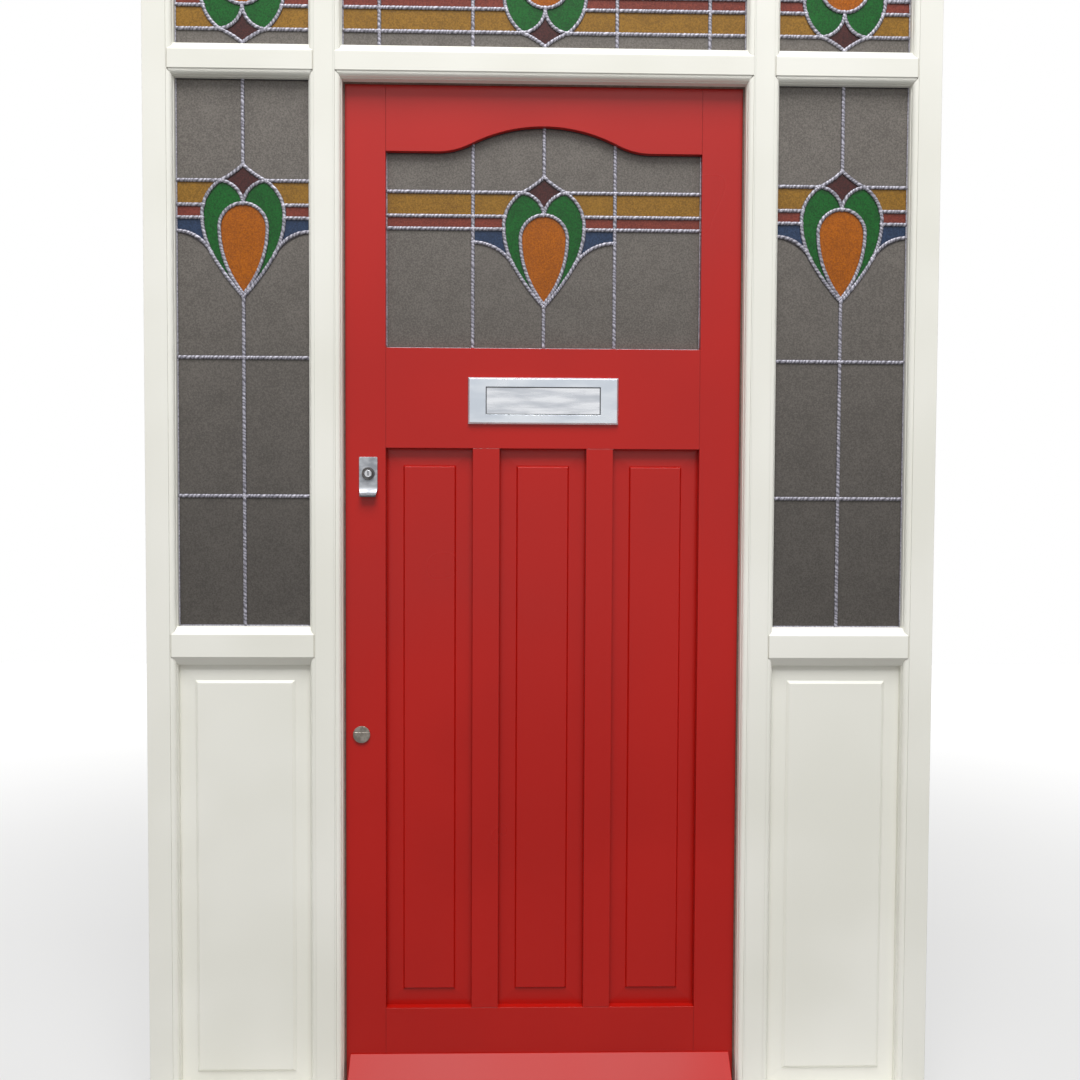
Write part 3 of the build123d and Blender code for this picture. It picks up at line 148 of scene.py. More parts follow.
# brush marks: noise drawn out along one direction, and a slow drift of tone
def makeBrushMarks():
    tree, source, sink = newGroup(
        "brushMarks",
        [("Stretch", "Vector", (700.0, 700.0, 9.0)), ("Drift", "Float", 2.5)],
        [("Height", "Float"), ("Tone", "Float")],
    )
    point = objectPoint(tree)
    drawnOut = stretchPoint(tree, point, source.outputs["Stretch"])
    feed(tree, sink.inputs["Height"], noise(tree, drawnOut, 1.0, detail=3.0))
    feed(tree, sink.inputs["Tone"], noise(tree, point, source.outputs["Drift"]))
    return tree


lineCore = 0.3  # share of a joint line's width that is at full strength


# a fine dark line at Place on both sides of the middle: 1 in its core, 0 from Width on
def makeJointLine():
    tree, source, sink = newGroup(
        "jointLine",
        [("Coordinate", "Float", 0.0), ("Place", "Float", 0.0), ("Width", "Float", 0.001)],
        [("Mask", "Float")],
    )
    fromMiddle = calc(tree, "ABSOLUTE", source.outputs["Coordinate"])
    away = calc(tree, "ABSOLUTE", calc(tree, "SUBTRACT", fromMiddle, source.outputs["Place"]))
    share = calc(tree, "DIVIDE", away, source.outputs["Width"])
    feed(tree, sink.inputs["Mask"], remap(tree, share, lineCore, 1.0, 1.0, 0.0))
    return tree


rolledMarks = {"slowScale": 24.0, "slowHeight": 0.3, "fineTone": 0.85, "slowTone": 0.15}


# rolled glass: small soft hammer marks on a slower wave
def makeRolledGlass():
    tree, source, sink = newGroup(
        "rolledGlass",
        [("Mark Size", "Float", 330.0)],
        [("Height", "Float"), ("Tone", "Float")],
    )
    point = objectPoint(tree)
    fine = noise(tree, point, source.outputs["Mark Size"], detail=4.0, rough=0.7)
    slow = noise(tree, point, rolledMarks["slowScale"])
    wave = calc(tree, "MULTIPLY", slow, rolledMarks["slowHeight"])
    feed(tree, sink.inputs["Height"], calc(tree, "ADD", fine, wave))
    fineTone = calc(tree, "MULTIPLY", fine, rolledMarks["fineTone"])
    slowTone = calc(tree, "MULTIPLY", slow, rolledMarks["slowTone"])
    feed(tree, sink.inputs["Tone"], calc(tree, "ADD", fineTone, slowTone))
    return tree


# fine scratches of satin metal along one direction, with slow clouds drawn out along another
def makeSatinScratch():
    tree, source, sink = newGroup(
        "satinScratch",
        [("Stretch", "Vector", (12.0, 700.0, 700.0)), ("Cloud", "Vector", (30.0, 30.0, 30.0))],
        [("Height", "Float"), ("Patch", "Float")],
    )
    point = objectPoint(tree)
    for label, stretch, detail in (("Height", "Stretch", 2.0), ("Patch", "Cloud", 3.0)):
        drawnOut = stretchPoint(tree, point, source.outputs[stretch])
        feed(tree, sink.inputs[label], noise(tree, drawnOut, 1.0, detail))
    return tree


brushMarks = makeBrushMarks()
jointLine = makeJointLine()
rolledGlass = makeRolledGlass()
satinScratch = makeSatinScratch()
print("shared effects ready")


def newMaterial(name):
    material = bpy.data.materials.new(name)
    material.use_nodes = True
    tree = material.node_tree
    return material, tree, tree.nodes["Principled BSDF"]


edgeSamples = 6


# a bump of the height, given as (distance, strength), on a normal that rounds the edges
def surfaceNormal(tree, shader, height, relief, edgeRadius=0.0):
    bump = tree.nodes.new("ShaderNodeBump")
    feed(tree, bump.inputs["Height"], height)
    bump.inputs["Distance"].default_value, bump.inputs["Strength"].default_value = relief
    if edgeRadius:
        edge = tree.nodes.new("ShaderNodeBevel")
        edge.samples = edgeSamples
        edge.inputs["Radius"].default_value = edgeRadius
        feed(tree, bump.inputs["Normal"], edge.outputs[0])
    feed(tree, shader.inputs["Normal"], bump.outputs[0])


timber = {
    "alongZ": (650.0, 650.0, 8.0),  # stretch of the brush marks on uprights
    "alongX": (8.0, 650.0, 650.0),  # and on level members
    "toneSpan": (0.3, 0.7),
    "glossSpan": (0.25, 0.75),
    "glossSwing": (-0.03, 0.05),    # of the roughness over that span
    "jointWidth": 0.0016,
    "jointDepth": 1.5,              # against the height of the brush marks
    "relief": (0.00010, 0.35),
}
whitePaint = {
    "light": screen(243, 242, 234), "shade": screen(233, 232, 222),
    "joint": screen(196, 192, 178), "roughness": 0.34, "specular": 0.40, "edge": 0.0016,
}
redPaint = {
    "light": screen(180, 17, 6), "shade": screen(173, 15, 5),
    "joint": screen(147, 12, 5), "roughness": 0.30, "specular": 0.44, "edge": 0.0014,
}
boardPaint = {**redPaint, "specular": 0.18, "roughness": 0.36}


# painted timber: two near tones by drift, brush marks as bump, and joint lines given as
# (axis, distance from the middle)
def paintedTimber(name, paint, stretch, joints=()):
    material, tree, shader = newMaterial(name)
    marks = useGroup(tree, brushMarks, Stretch=stretch)
    colour = twoTones(tree, marks["Tone"], timber["toneSpan"], paint["shade"], paint["light"])
    height = marks["Height"]
    if joints:
        axes = splitPoint(tree, objectPoint(tree))
        for axis, at in joints:
            line = useGroup(
                tree, jointLine, Coordinate=axes[axis], Place=at, Width=timber["jointWidth"]
            )["Mask"]
            colour = blendColour(tree, line, colour, paint["joint"])
            groove = calc(tree, "MULTIPLY", line, timber["jointDepth"])
            height = calc(tree, "SUBTRACT", height, groove)
    smoothest, roughest = (paint["roughness"] + swing for swing in timber["glossSwing"])
    gloss = remap(tree, marks["Tone"], *timber["glossSpan"], smoothest, roughest)
    feed(tree, shader.inputs["Base Color"], colour)
    feed(tree, shader.inputs["Roughness"], gloss)
    shader.inputs["Specular IOR Level"].default_value = paint["specular"]
    surfaceNormal(tree, shader, height, timber["relief"], paint["edge"])
    return material


stileJoint = place("door_hinge_stile", 0, "x")
lockRailFoot = place("door_lock_rail", 0, "z")
bottomRailTop = place("door_bottom_rail", 1, "z")
alongX, alongZ = timber["alongX"], timber["alongZ"]
muntinJoints = ((2, lockRailFoot), (2, bottomRailTop))
frameJoints = ((0, place("right_midrail", 0, "x")), (0, place("right_midrail", 1, "x")))
whiteUpright = paintedTimber("whitePaintUpright", whitePaint, alongZ)
whiteLevel = paintedTimber("whitePaintLevel", whitePaint, alongX)
whiteRail = paintedTimber("whitePaintRail", whitePaint, alongX, frameJoints)
redUpright = paintedTimber("redPaintUpright", redPaint, alongZ)
redMuntin = paintedTimber("redPaintMuntin", redPaint, alongZ, muntinJoints)
redLevel = paintedTimber("redPaintLevel", redPaint, alongX, ((0, stileJoint),))
redBoard = paintedTimber("redPaintBoard", boardPaint, alongX)

glassSettings = {
    "clear": {"colour": screen(129, 123, 117), "dark": screen(101, 96, 91)},
    "amber": {"colour": screen(166, 122, 44), "dark": screen(126, 90, 32)},
    "rose": {"colour": screen(144, 68, 54), "dark": screen(108, 48, 40)},
    "blue": {"colour": screen(52, 72, 104), "dark": screen(34, 50, 76)},
    "green": {"colour": screen(20, 108, 38), "dark": screen(11, 70, 24)},
    "orange": {"colour": screen(194, 106, 10), "dark": screen(148, 78, 8)},
    "plum": {"colour": screen(86, 44, 42), "dark": screen(54, 30, 30)},
}
rolled = {
    "toneSpan": (0.36, 0.66),
    "paintedShadeSpan": (0.95, 2.05),  # levels between which the painted shade darkens the glass downwards
    "paintedShadeLow": 0.50,           # share of the tone that the painted shade leaves at the lower one
    "roughness": 0.26,
    "ior": 1.5,
    "specular": 0.25,
    "transmission": 0.12,
    "relief": (0.0004, 0.6),
}


# rolled glass in one colour, with painted sky reflection above and painted shade below that darken
# it towards the foot of the lights by height
def stainedGlass(name, settings):
    material, tree, shader = newMaterial(name)
    marks = useGroup(tree, rolledGlass)
    dark, light = settings["dark"], settings["colour"]
    colour = twoTones(tree, marks["Tone"], rolled["toneSpan"], dark, light)
    # painted sky reflection above and painted shade below: the glass colour darkens by height
    # towards the foot of the lights
    level = splitPoint(tree, objectPoint(tree))[2]
    shade = remap(tree, level, *rolled["paintedShadeSpan"], rolled["paintedShadeLow"], 1.0)
    grey = tree.nodes.new("ShaderNodeCombineColor")
    for socket in grey.inputs:
        feed(tree, socket, shade)
    colourInPaintedShade = blendColour(tree, 1.0, colour, grey.outputs[0], "MULTIPLY")
    feed(tree, shader.inputs["Base Color"], colourInPaintedShade)
    shader.inputs["Roughness"].default_value = rolled["roughness"]
    shader.inputs["IOR"].default_value = rolled["ior"]
    shader.inputs["Specular IOR Level"].default_value = rolled["specular"]
    shader.inputs["Transmission Weight"].default_value = rolled["transmission"]
    surfaceNormal(tree, shader, marks["Height"], rolled["relief"])
    return material


glassMaterials = {
    colour: stainedGlass(colour + "Glass", settings) for colour, settings in glassSettings.items()
}

satin = {
    "toneSpan": (0.32, 0.68),
    "glossSpan": (0.3, 0.7),
    "glossSwing": (0.06, -0.05),  # of the roughness over that span
    "bumpStrength": 0.4,
    "edge": 0.0007,
}
turned = {"stretch": (700.0, 700.0, 40.0), "cloud": (90.0, 90.0, 90.0), "bump": 0.00002}
metalSettings = {
    "plate": {
        "light": screen(226, 231, 237), "dark": screen(198, 205, 214), "roughness": 0.30,
        "stretch": (12.0, 700.0, 700.0), "cloud": (9.0, 9.0, 26.0), "bump": 0.000015,
    },
    "flap": {
        "light": screen(238, 240, 244), "dark": screen(192, 196, 203), "roughness": 0.26,
        # the flap's cloud, drawn out level, is partly painted reflection: wavy level bands of light
        # and dark, besides random tone
        "stretch": (12.0, 700.0, 700.0), "cloud": (11.0, 11.0, 75.0), "bump": 0.000015,
        # painted shade in the gap round the flap: a dark line on the flap along each edge of the
        # opening
        "paintedGapShade": {
            "colour": screen(58, 59, 62), "width": 0.0028,
            "lines": ((0, 0.0, 0.1140), (2, 1.451, 0.0275)),
        },
    },
    "pull": {
        "light": screen(188, 191, 196), "dark": screen(144, 147, 153), "roughness": 0.46,
        "stretch": (700.0, 700.0, 20.0), "cloud": (40.0, 40.0, 70.0), "bump": 0.000015,
        # painted shade: the pull's colour darkens below the level between low and high, over its
        # lip
        "foot": {"colour": screen(112, 114, 118), "low": 1.262, "high": 1.278},
    },
    "nickel": {
        "light": screen(174, 167, 158), "dark": screen(132, 125, 117), "roughness": 0.40, **turned,
    },
    "ring": {
        "light": screen(118, 116, 116), "dark": screen(84, 82, 82), "roughness": 0.36, **turned,
    },
    "plug": {
        "light": screen(226, 227, 230), "dark": screen(194, 195, 200), "roughness": 0.30, **turned,
    },
    "steel": {
        "light": screen(190, 190, 188), "dark": screen(158, 158, 156), "roughness": 0.36,
        "stretch": (700.0, 700.0, 30.0), "cloud": (30.0, 30.0, 30.0), "bump": 0.00002,
    },
    "bolt": {
        "light": screen(214, 210, 200), "dark": screen(184, 179, 166), "roughness": 0.26,
        "stretch": (20.0, 700.0, 700.0), "cloud": (30.0, 30.0, 30.0), "bump": 0.00001,
    },
}


# satin metal: two near tones by cloud, fine scratches as bump, painted shade of a gap as a dark
# line along the lines given as (axis, centre, distance from it), and painted shade that darkens it
# below the given level
def satinMetal(name, settings):
    material, tree, shader = newMaterial(name)
    marks = useGroup(
        tree, satinScratch, Stretch=settings["stretch"], Cloud=settings["cloud"]
    )
    dark, light = settings["dark"], settings["light"]
    colour = twoTones(tree, marks["Patch"], satin["toneSpan"], dark, light)
    # painted shade of the gap: dark lines along the given edges
    if "paintedGapShade" in settings:
        paintedGapShade = settings["paintedGapShade"]
        axes = splitPoint(tree, objectPoint(tree))
        for axis, centre, away in paintedGapShade["lines"]:
            fromCentre = calc(tree, "SUBTRACT", axes[axis], centre)
            line = useGroup(
                tree, jointLine, Coordinate=fromCentre, Place=away, Width=paintedGapShade["width"]
            )["Mask"]
            colour = blendColour(tree, line, colour, paintedGapShade["colour"])
    # painted shade: darker colour below the given level
    if "foot" in settings:
        foot = settings["foot"]
        level = splitPoint(tree, objectPoint(tree))[2]
        below = remap(tree, level, foot["low"], foot["high"], 1.0, 0.0)
        colour = blendColour(tree, below, colour, foot["colour"])
    roughest, smoothest = (settings["roughness"] + swing for swing in satin["glossSwing"])
    gloss = remap(tree, marks["Patch"], *satin["glossSpan"], roughest, smoothest)
    feed(tree, shader.inputs["Base Color"], colour)
    feed(tree, shader.inputs["Roughness"], gloss)
    shader.inputs["Metallic"].default_value = 1.0
    relief = (settings["bump"], satin["bumpStrength"])
    surfaceNormal(tree, shader, marks["Height"], relief, satin["edge"])
    return material


metals = {kind: satinMetal(kind + "Metal", settings) for kind, settings in metalSettings.items()}

leadSettings = {
    "patch": {"scale": 230.0, "detail": 3.0, "rough": 0.6},
    "span": (0.3, 0.7),
    "glossSwing": 0.12,  # of the roughness over that span
    "metallic": 0.30,
    "grainScale": 700.0,
    "relief": (0.0002, 0.6),
}
# painted shade: the bar's tones are a darker copy of the lead, for the shade along its flanks
# beside the rounded face
leadBarShadeTones = {
    "light": screen(74, 70, 72), "dark": screen(44, 41, 44),
    "groove": screen(44, 41, 44), "roughness": 0.6,
}
leadFaceTones = {
    "light": screen(198, 196, 208), "dark": screen(126, 124, 136),
    "groove": screen(84, 82, 90), "roughness": 0.38,
}


# lead: dull blue-grey, darker in patches, with painted shade in the grooves that the attribute
# marks
def leadMaterial(name, tones):
    material, tree, shader = newMaterial(name)
    point = objectPoint(tree)
    patch = noise(tree, point, **leadSettings["patch"])
    mark = tree.nodes.new("ShaderNodeAttribute")
    mark.attribute_name = "groove"
    face = twoTones(tree, patch, leadSettings["span"], tones["dark"], tones["light"])
    # painted shade: the lead's colour darkens to the groove tone where the attribute marks a groove
    grooveShaded = blendColour(tree, mark.outputs["Fac"], face, tones["groove"])
    smoothest = tones["roughness"]
    roughest = smoothest + leadSettings["glossSwing"]
    gloss = remap(tree, patch, *leadSettings["span"], smoothest, roughest, smooth=False)
    feed(tree, shader.inputs["Base Color"], grooveShaded)
    shader.inputs["Metallic"].default_value = leadSettings["metallic"]
    feed(tree, shader.inputs["Roughness"], gloss)
    grain = noise(tree, point, leadSettings["grainScale"])
    surfaceNormal(tree, shader, grain, leadSettings["relief"])
    return material


leadBarShade = leadMaterial("leadBarShade", leadBarShadeTones)
leadFace = leadMaterial("leadFace", leadFaceTones)

plainSettings = {
    "toneSpan": (0.35, 0.65),
    "glossSpan": (0.3, 0.7),
    "glossSwing": 0.1,  # of the roughness over that span
    "bumpStrength": 0.5,
    "edge": 0.0006,
}
sealTones = {
    "light": screen(118, 96, 86), "dark": screen(96, 76, 68),
    "roughness": 0.55, "scale": 120.0, "bump": 0.0002,
}
latchTones = {
    "light": screen(206, 200, 182), "dark": screen(192, 186, 168),
    "roughness": 0.30, "scale": 900.0, "bump": 0.0001,
}


# rubber or enamel: two near tones, roughness and bump from one noise
def plainFinish(name, tones):
    material, tree, shader = newMaterial(name)
    patch = noise(tree, objectPoint(tree), tones["scale"], detail=3.0, rough=0.6)
    dark, light = tones["dark"], tones["light"]
    colour = twoTones(tree, patch, plainSettings["toneSpan"], dark, light, smooth=False)
    smoothest = tones["roughness"]
    roughest = smoothest + plainSettings["glossSwing"]
    gloss = remap(tree, patch, *plainSettings["glossSpan"], smoothest, roughest, smooth=False)
    feed(tree, shader.inputs["Base Color"], colour)
    feed(tree, shader.inputs["Roughness"], gloss)
    relief = (tones["bump"], plainSettings["bumpStrength"])
    surfaceNormal(tree, shader, patch, relief, plainSettings["edge"])
    return material


sealRubber = plainFinish("sealRubber", sealTones)
latchPaint = plainFinish("latchPaint", latchTones)

nodeFinish = {
    whiteUpright: [
        "left_jamb", "right_jamb", "left_mullion", "right_mullion",
        "door_stops", "side_panels", "fixed_light_beads",
    ],
    whiteLevel: ["sill", "head"],
    whiteRail: [
        "left_transom", "right_transom", "centre_transom",
        "left_midrail", "right_midrail", "side_bottom_rails",
    ],
    redUpright: [
        "door_lock_stile", "door_hinge_stile",
        "door_left_panel", "door_centre_panel", "door_right_panel",
    ],
    redMuntin: ["door_muntins"],
    redLevel: ["door_top_rail", "door_lock_rail", "door_bottom_rail", "door_glazing_beads"],
    redBoard: ["weatherboard"],
    leadBarShade: ["fixed_light_lead", "door_lead"],
    sealRubber: ["door_seal"],
    latchPaint: ["latch_case", "latch_keep"],
    metals["plate"]: ["letter_plate"],
    metals["flap"]: ["letter_flap"],
    metals["pull"]: ["cylinder_pull", "latch_knob"],
    metals["nickel"]: ["keyhole_cover", "key_roses"],
    metals["ring"]: ["rim_cylinder"],
    metals["plug"]: ["cylinder_plug"],
    metals["steel"]: [
        "hinge_frame_leaves", "hinge_door_leaves", "hinge_pins", "deadbolt_keep", "deadlock_case",
    ],
    metals["bolt"]: ["latch_bolt", "deadbolt"],
}
for colour, material in glassMaterials.items():
    nodeFinish[material] = [side + "_" + colour + "_glass" for side in ("fixed", "door")]
for material, names in nodeFinish.items():
    for name in names:
        slots = nodes[name].data.materials
        slots.clear()
        slots.append(material)
print("materials on", sum(len(names) for names in nodeFinish.values()), "nodes")


# a mesh object at the origin from points and faces, its faces turned outwards
def meshPiece(name, points, faces, smooth=False):
    mesh = bpy.data.meshes.new(name)
    mesh.from_pydata(points.tolist(), [], faces)
    piece = bpy.data.objects.new(name, mesh)
    bpy.context.scene.collection.objects.link(piece)
    work = bmesh.new()
    work.from_mesh(mesh)
    bmesh.ops.recalc_face_normals(work, faces=work.faces)
    work.to_mesh(mesh)
    work.free()
    if smooth:
        mesh.shade_smooth()
    return piece


# faces of a closed disc: a fan round the point at start, rings of four-sided faces, and the cap
# under the outermost ring
def discFaces(start, rings, spokes):
    grid = start + 1 + np.arange(rings * spokes).reshape(rings, spokes)
    following = np.roll(grid, -1, axis=1)
    fan = np.stack([np.full(spokes, start), grid[0], following[0]], 1)
    quads = np.stack([grid[:-1], grid[1:], following[1:], following[:-1]], 2).reshape(-1, 4)
    return fan.tolist() + quads.tolist() + [grid[-1].tolist()]


came = {
    "halfWidth": 0.0037,
    "rise": 0.0026,         # of the rounded face above the bar
    "sunk": 0.0004,         # of its flat underside into the bar
    "step": 0.0014,         # from one section to the next
    "around": 8,            # points in a section
    "backSkip": 4,          # sections passed over on plain strands
    "borderSize": 0.30,     # of the edge strand, as a share of the others
    "twistPitch": 0.0076,   # from one ridge of the marked face to the next
    "twistDepth": 0.23,
    "twistLean": 1.3,       # of the ridges across the face
    "twistAcross": 0.3,     # share of the depth that also narrows the strand
    "twistDrift": 2.0,      # how far the ridges wander, in radians of the turn
    "driftSlow": 83,        # radians a metre of the two waves that they wander by
    "driftFast": 211,
    "driftFastShare": 0.7,
}
motif = {  # depths are from the tip, half-widths from the middle line
    "bands": (0.031, 0.078, 0.103), "topBands": (0.026, 0.071, 0.096), "length": 0.256,
    "shoulderHalf": 0.044, "hollowShare": 0.58, "leafHalf": 0.080, "leafWidest": 0.097,
    "turnHalf": 0.057, "turn": 0.180, "vee": 0.0745, "veeAcross": 0.016, "veeRise": 0.0125,
    "tearRadius": 0.0467, "tearLength": 0.1765, "wingStart": 0.129, "wingEnd": 0.171,
}


# straight run: points at even steps from a to b
def straight(a, b):
    a, b = np.array(a, float), np.array(b, float)
    count = max(2, int(math.ceil(np.linalg.norm(b - a) / came["step"])) + 1)
    return a + np.linspace(0, 1, count)[:, None] * (b - a)


# arc from a to b that leaves a along the given direction; the centre is on the normal at a,
# at distance |b-a|^2 / (2 (b-a).normal). Gives the points and the direction at b.
def arcLeaving(a, b, direction):
    a, b = np.array(a, float), np.array(b, float)
    direction = np.array(direction, float) / np.linalg.norm(direction)
    normal = np.array([-direction[1], direction[0]])
    chord = b - a
    radius = chord @ chord / (2 * (chord @ normal))
    centre = a + normal * radius
    swing = 2 * math.atan2(chord @ normal, chord @ direction)
    count = max(4, int(math.ceil(abs(radius * swing) / came["step"])) + 1)
    turn = np.linspace(0, swing, count)[:, None]
    points = centre - normal * radius * np.cos(turn) + direction * radius * np.sin(turn)
    unit = chord / np.linalg.norm(chord)
    return points, 2 * (direction @ unit) * unit - direction


# angle from one direction to another, positive to the left
def angleBetween(first, second):
    return math.atan2(first[0] * second[1] - first[1] * second[0], first @ second)


# arc through three points: it leaves a at the angle that b sees between a and the middle point,
# measured from the line to the middle point
def arcThrough(a, middle, b):
    a, middle, b = (np.array(point, float) for point in (a, middle, b))
    first = middle - a
    angle = angleBetween(first, b - a) - angleBetween(first, b - middle)
    unit = first / np.linalg.norm(first)
    cosine, sine = math.cos(angle), math.sin(angle)
    leave = (unit[0] * cosine - unit[1] * sine, unit[0] * sine + unit[1] * cosine)
    return arcLeaving(a, b, leave)[0]


# half-width of the green leaf at depth v: leafHalf - r + (r^2 - (v - leafWidest)^2)^0.5, with one
# r above the widest place and another below it
def leafEdge(v, shoulder):
    above, below = (motif["shoulderHalf"], shoulder), (motif["turnHalf"], motif["turn"])
    across, along = above if v < motif["leafWidest"] else below
    run = motif["leafHalf"] - across
    radius = (run**2 + (along - motif["leafWidest"]) ** 2) / (2 * run)
    return motif["leafHalf"] - radius + math.sqrt(radius**2 - (v - motif["leafWidest"]) ** 2)


# the curves of one motif, grown from its tip in the direction along; wings start at halfSpan
def motifCurves(tipX, tipZ, along, bands, halfSpan):
    def at(u, v):
        return np.array((tipX + u, tipZ + along * v))

    m = motif
    curves = []
    for side in (-1, 1):
        corner = at(side * m["shoulderHalf"], bands[0])
        widest = at(side * m["leafHalf"], m["leafWidest"])
        turn = at(side * m["turnHalf"], m["turn"])
        dip = at(side * m["shoulderHalf"] / 2, m["hollowShare"] * bands[0])
        hollow = arcThrough(at(0, 0), dip, corner)
        shoulder = arcLeaving(widest, corner, (0, -along))[0][::-1]
        flank, heading = arcLeaving(widest, turn, (0, along))
        point = arcLeaving(turn, at(0, m["length"]), heading)[0]
        curves.append(np.vstack([hollow, shoulder[1:], flank[1:], point[1:]]))
        vee = at(side * m["veeAcross"], bands[0] + m["veeRise"])
        curves.append(arcThrough(corner, vee, at(0, m["vee"])))
        cheek = at(side * m["tearRadius"], m["vee"] + m["tearRadius"])
        crown = arcLeaving(at(0, m["vee"]), cheek, (side, 0))[0]
        taper = arcLeaving(cheek, at(0, m["vee"] + m["tearLength"]), (0, along))[0]
        curves.append(np.vstack([crown, taper[1:]]))
        wingTip = at(side * leafEdge(m["wingEnd"], bands[0]), m["wingEnd"])
        curves.append(arcLeaving(at(side * halfSpan, m["wingStart"]), wingTip, (-side, 0))[0])
    return curves


# top of a light's opening at distance across from its middle
def topAt(light, across):
    return light["top"](across) if "top" in light else light["high"]


# the level and upright cames of one light between its tip and its edges; knots are the crossings
def lightCames(light):
    m, bands, along = motif, light["bands"], light["along"]
    x, tip, half = light["x"], light["tip"], light["half"]
    low, high = light["low"], light["high"]
    first, last = (high, low) if along < 0 else (low, high)
    span = light["uprights"][0] if light["uprights"] else half
    curves = motifCurves(x, tip, along, bands, span)
    knots = [(x, tip), (x, tip + along * m["vee"]), (x, tip + along * m["length"])]
    if abs(first - tip) > came["step"]:
        curves.append(straight((x, first), (x, tip)))
    curves.append(straight((x, tip + along * m["length"]), (x, last)))
    starts = [m["shoulderHalf"], leafEdge(bands[1], bands[0]), leafEdge(bands[2], bands[0])]
    wingEdge = leafEdge(m["wingEnd"], bands[0])
    for side in (-1, 1):
        for band, start in zip(bands, starts):
            z = tip + along * band
            curves.append(straight((x + side * start, z), (x + side * half, z)))
            knots.append((x + side * start, z))
            knots += [(x + side * upright, z) for upright in light["uprights"]]
        knots.append((x + side * wingEdge, tip + along * m["wingEnd"]))
        if light["uprights"]:
            knots.append((x + side * span, tip + along * m["wingStart"]))
        for upright in light["uprights"]:
            foot, head = (x + side * upright, low), (x + side * upright, topAt(light, upright))
            curves.append(straight(foot, head))
    for bar in light["bars"]:
        curves.append(straight((x - half, bar), (x + half, bar)))
        knots.append((x, bar))
    return curves, knots


# the strand round a light's two sides and foot, just inside its edge
def borderCurves(light):
    inset = came["borderSize"] * came["halfWidth"]
    left, right = light["x"] - light["half"] + inset, light["x"] + light["half"] - inset
    foot, head = light["low"] + inset, topAt(light, light["half"])
    ends = (
        ((left, foot), (left, head)),
        ((right, foot), (right, head)),
        ((left, foot), (right, foot)),
    )
    return [straight(a, b) for a, b in ends]


# rounded strand along each curve: at angle a of its section, across = halfWidth cos a and
# out = rise sin a, times size. The mark takes twistDepth d from out, and twistAcross of that from
# across, where d = (1 - sin(t + twistLean a)) / 2. The turn t goes round once per twistPitch of
# the length s, and wanders by twistDrift (sin(driftSlow s + p) + driftFastShare sin(driftFast s)),
# with p the number of points made so far. The point attribute groove is d squared.
def strands(name, curves, faceY, facing, twist=True, skip=1, size=1.0):
    corner, faces, grooveShades = [], [], []
    total = 0
    angle = np.linspace(0, math.pi, came["around"])
    base = np.sin(angle) < 1e-6  # the two points of a section that lie in the bar
    for curve in curves:
        line = curve if skip == 1 else np.vstack([curve[:-1:skip], curve[-1:]])
        step = np.gradient(line, axis=0)
        along = step / np.linalg.norm(step, axis=1)[:, None]
        normal = np.stack([-along[:, 1], along[:, 0]], 1)
        steps = np.linalg.norm(np.diff(line, axis=0), axis=1)
        length = np.concatenate([[0], np.cumsum(steps)])[:, None]
        slow, fast = np.sin(came["driftSlow"] * length + total), np.sin(came["driftFast"] * length)
        drift = came["twistDrift"] * (slow + came["driftFastShare"] * fast)
        turn = length / came["twistPitch"] * 2 * math.pi + drift
        drawn = (1 - np.sin(turn + came["twistLean"] * angle)) / 2 * float(twist)
        swell = 1 - came["twistDepth"] * drawn
        narrow = 1 + (swell - 1) * came["twistAcross"]
        across = size * came["halfWidth"] * np.cos(angle) * narrow
        out = size * came["rise"] * np.sin(angle) * swell
        plane = line[:, None, :] + across[:, :, None] * normal[:, None, :]
        depth = faceY + facing * (out - came["sunk"] * base)
        ring = np.stack([plane[..., 0], depth, plane[..., 1]], 2)
        rings, sides = ring.shape[:2]
        grid = total + np.arange(rings * sides).reshape(rings, sides)
        following = np.roll(grid, -1, axis=1)
        quads = np.stack([grid[:-1], following[:-1], following[1:], grid[1:]], 2).reshape(-1, 4)
        faces += quads.tolist() + [grid[0][::-1].tolist(), grid[-1].tolist()]
        corner.append(ring.reshape(-1, 3))
        # the attribute carries painted shade into the grooves of the twist
        grooveShades.append((drawn**2).ravel())
        total += rings * sides
    piece = meshPiece(name, np.vstack(corner), faces, smooth=True)
    groove = piece.data.attributes.new("groove", "FLOAT", "POINT")
    groove.data.foreach_set("value", np.concatenate(grooveShades))
    return piece


solder = {
    "radius": 0.0048,
    "rise": 0.0026,
    "sunk": 0.0004,
    "rings": 4,
    "spokes": 14,
    "wave": 0.10,      # of the edge, as a share of the radius
    "waveCount": 3,
    "waveTurn": 1.7,   # from one dome to the next
}


# low domes of solder on the crossings: height = rise (1 - r^2)^0.5 over a disc whose radius at
# angle a of dome i is times 1 + wave sin(waveCount a + waveTurn i); the edge is sunk in the came
def solderDomes(name, knots, faceY, facing):
    rings, spokes = solder["rings"], solder["spokes"]
    share = np.linspace(0, 1, rings + 1)[1:, None]
    spin = np.arange(spokes) / spokes * 2 * math.pi
    corner, faces = [], []
    for index, (x, z) in enumerate(knots):
        wave = 1 + solder["wave"] * np.sin(solder["waveCount"] * spin + index * solder["waveTurn"])
        radius = solder["radius"] * share * wave
        out = solder["rise"] * np.sqrt(1 - share**2) * np.ones(spokes)
        out[-1] = -solder["sunk"]
        ring = [x + radius * np.cos(spin), faceY + facing * out, z + radius * np.sin(spin)]
        corner.append([[x, faceY + facing * solder["rise"], z]])
        corner.append(np.stack(ring, 2).reshape(-1, 3))
        faces += discFaces(index * (rings * spokes + 1), rings, spokes)
    return meshPiece(name, np.vstack(corner), faces, smooth=True)


arch = {"shoulder": 1.939, "crest": 1.990, "half": 0.212, "radius": 0.319}


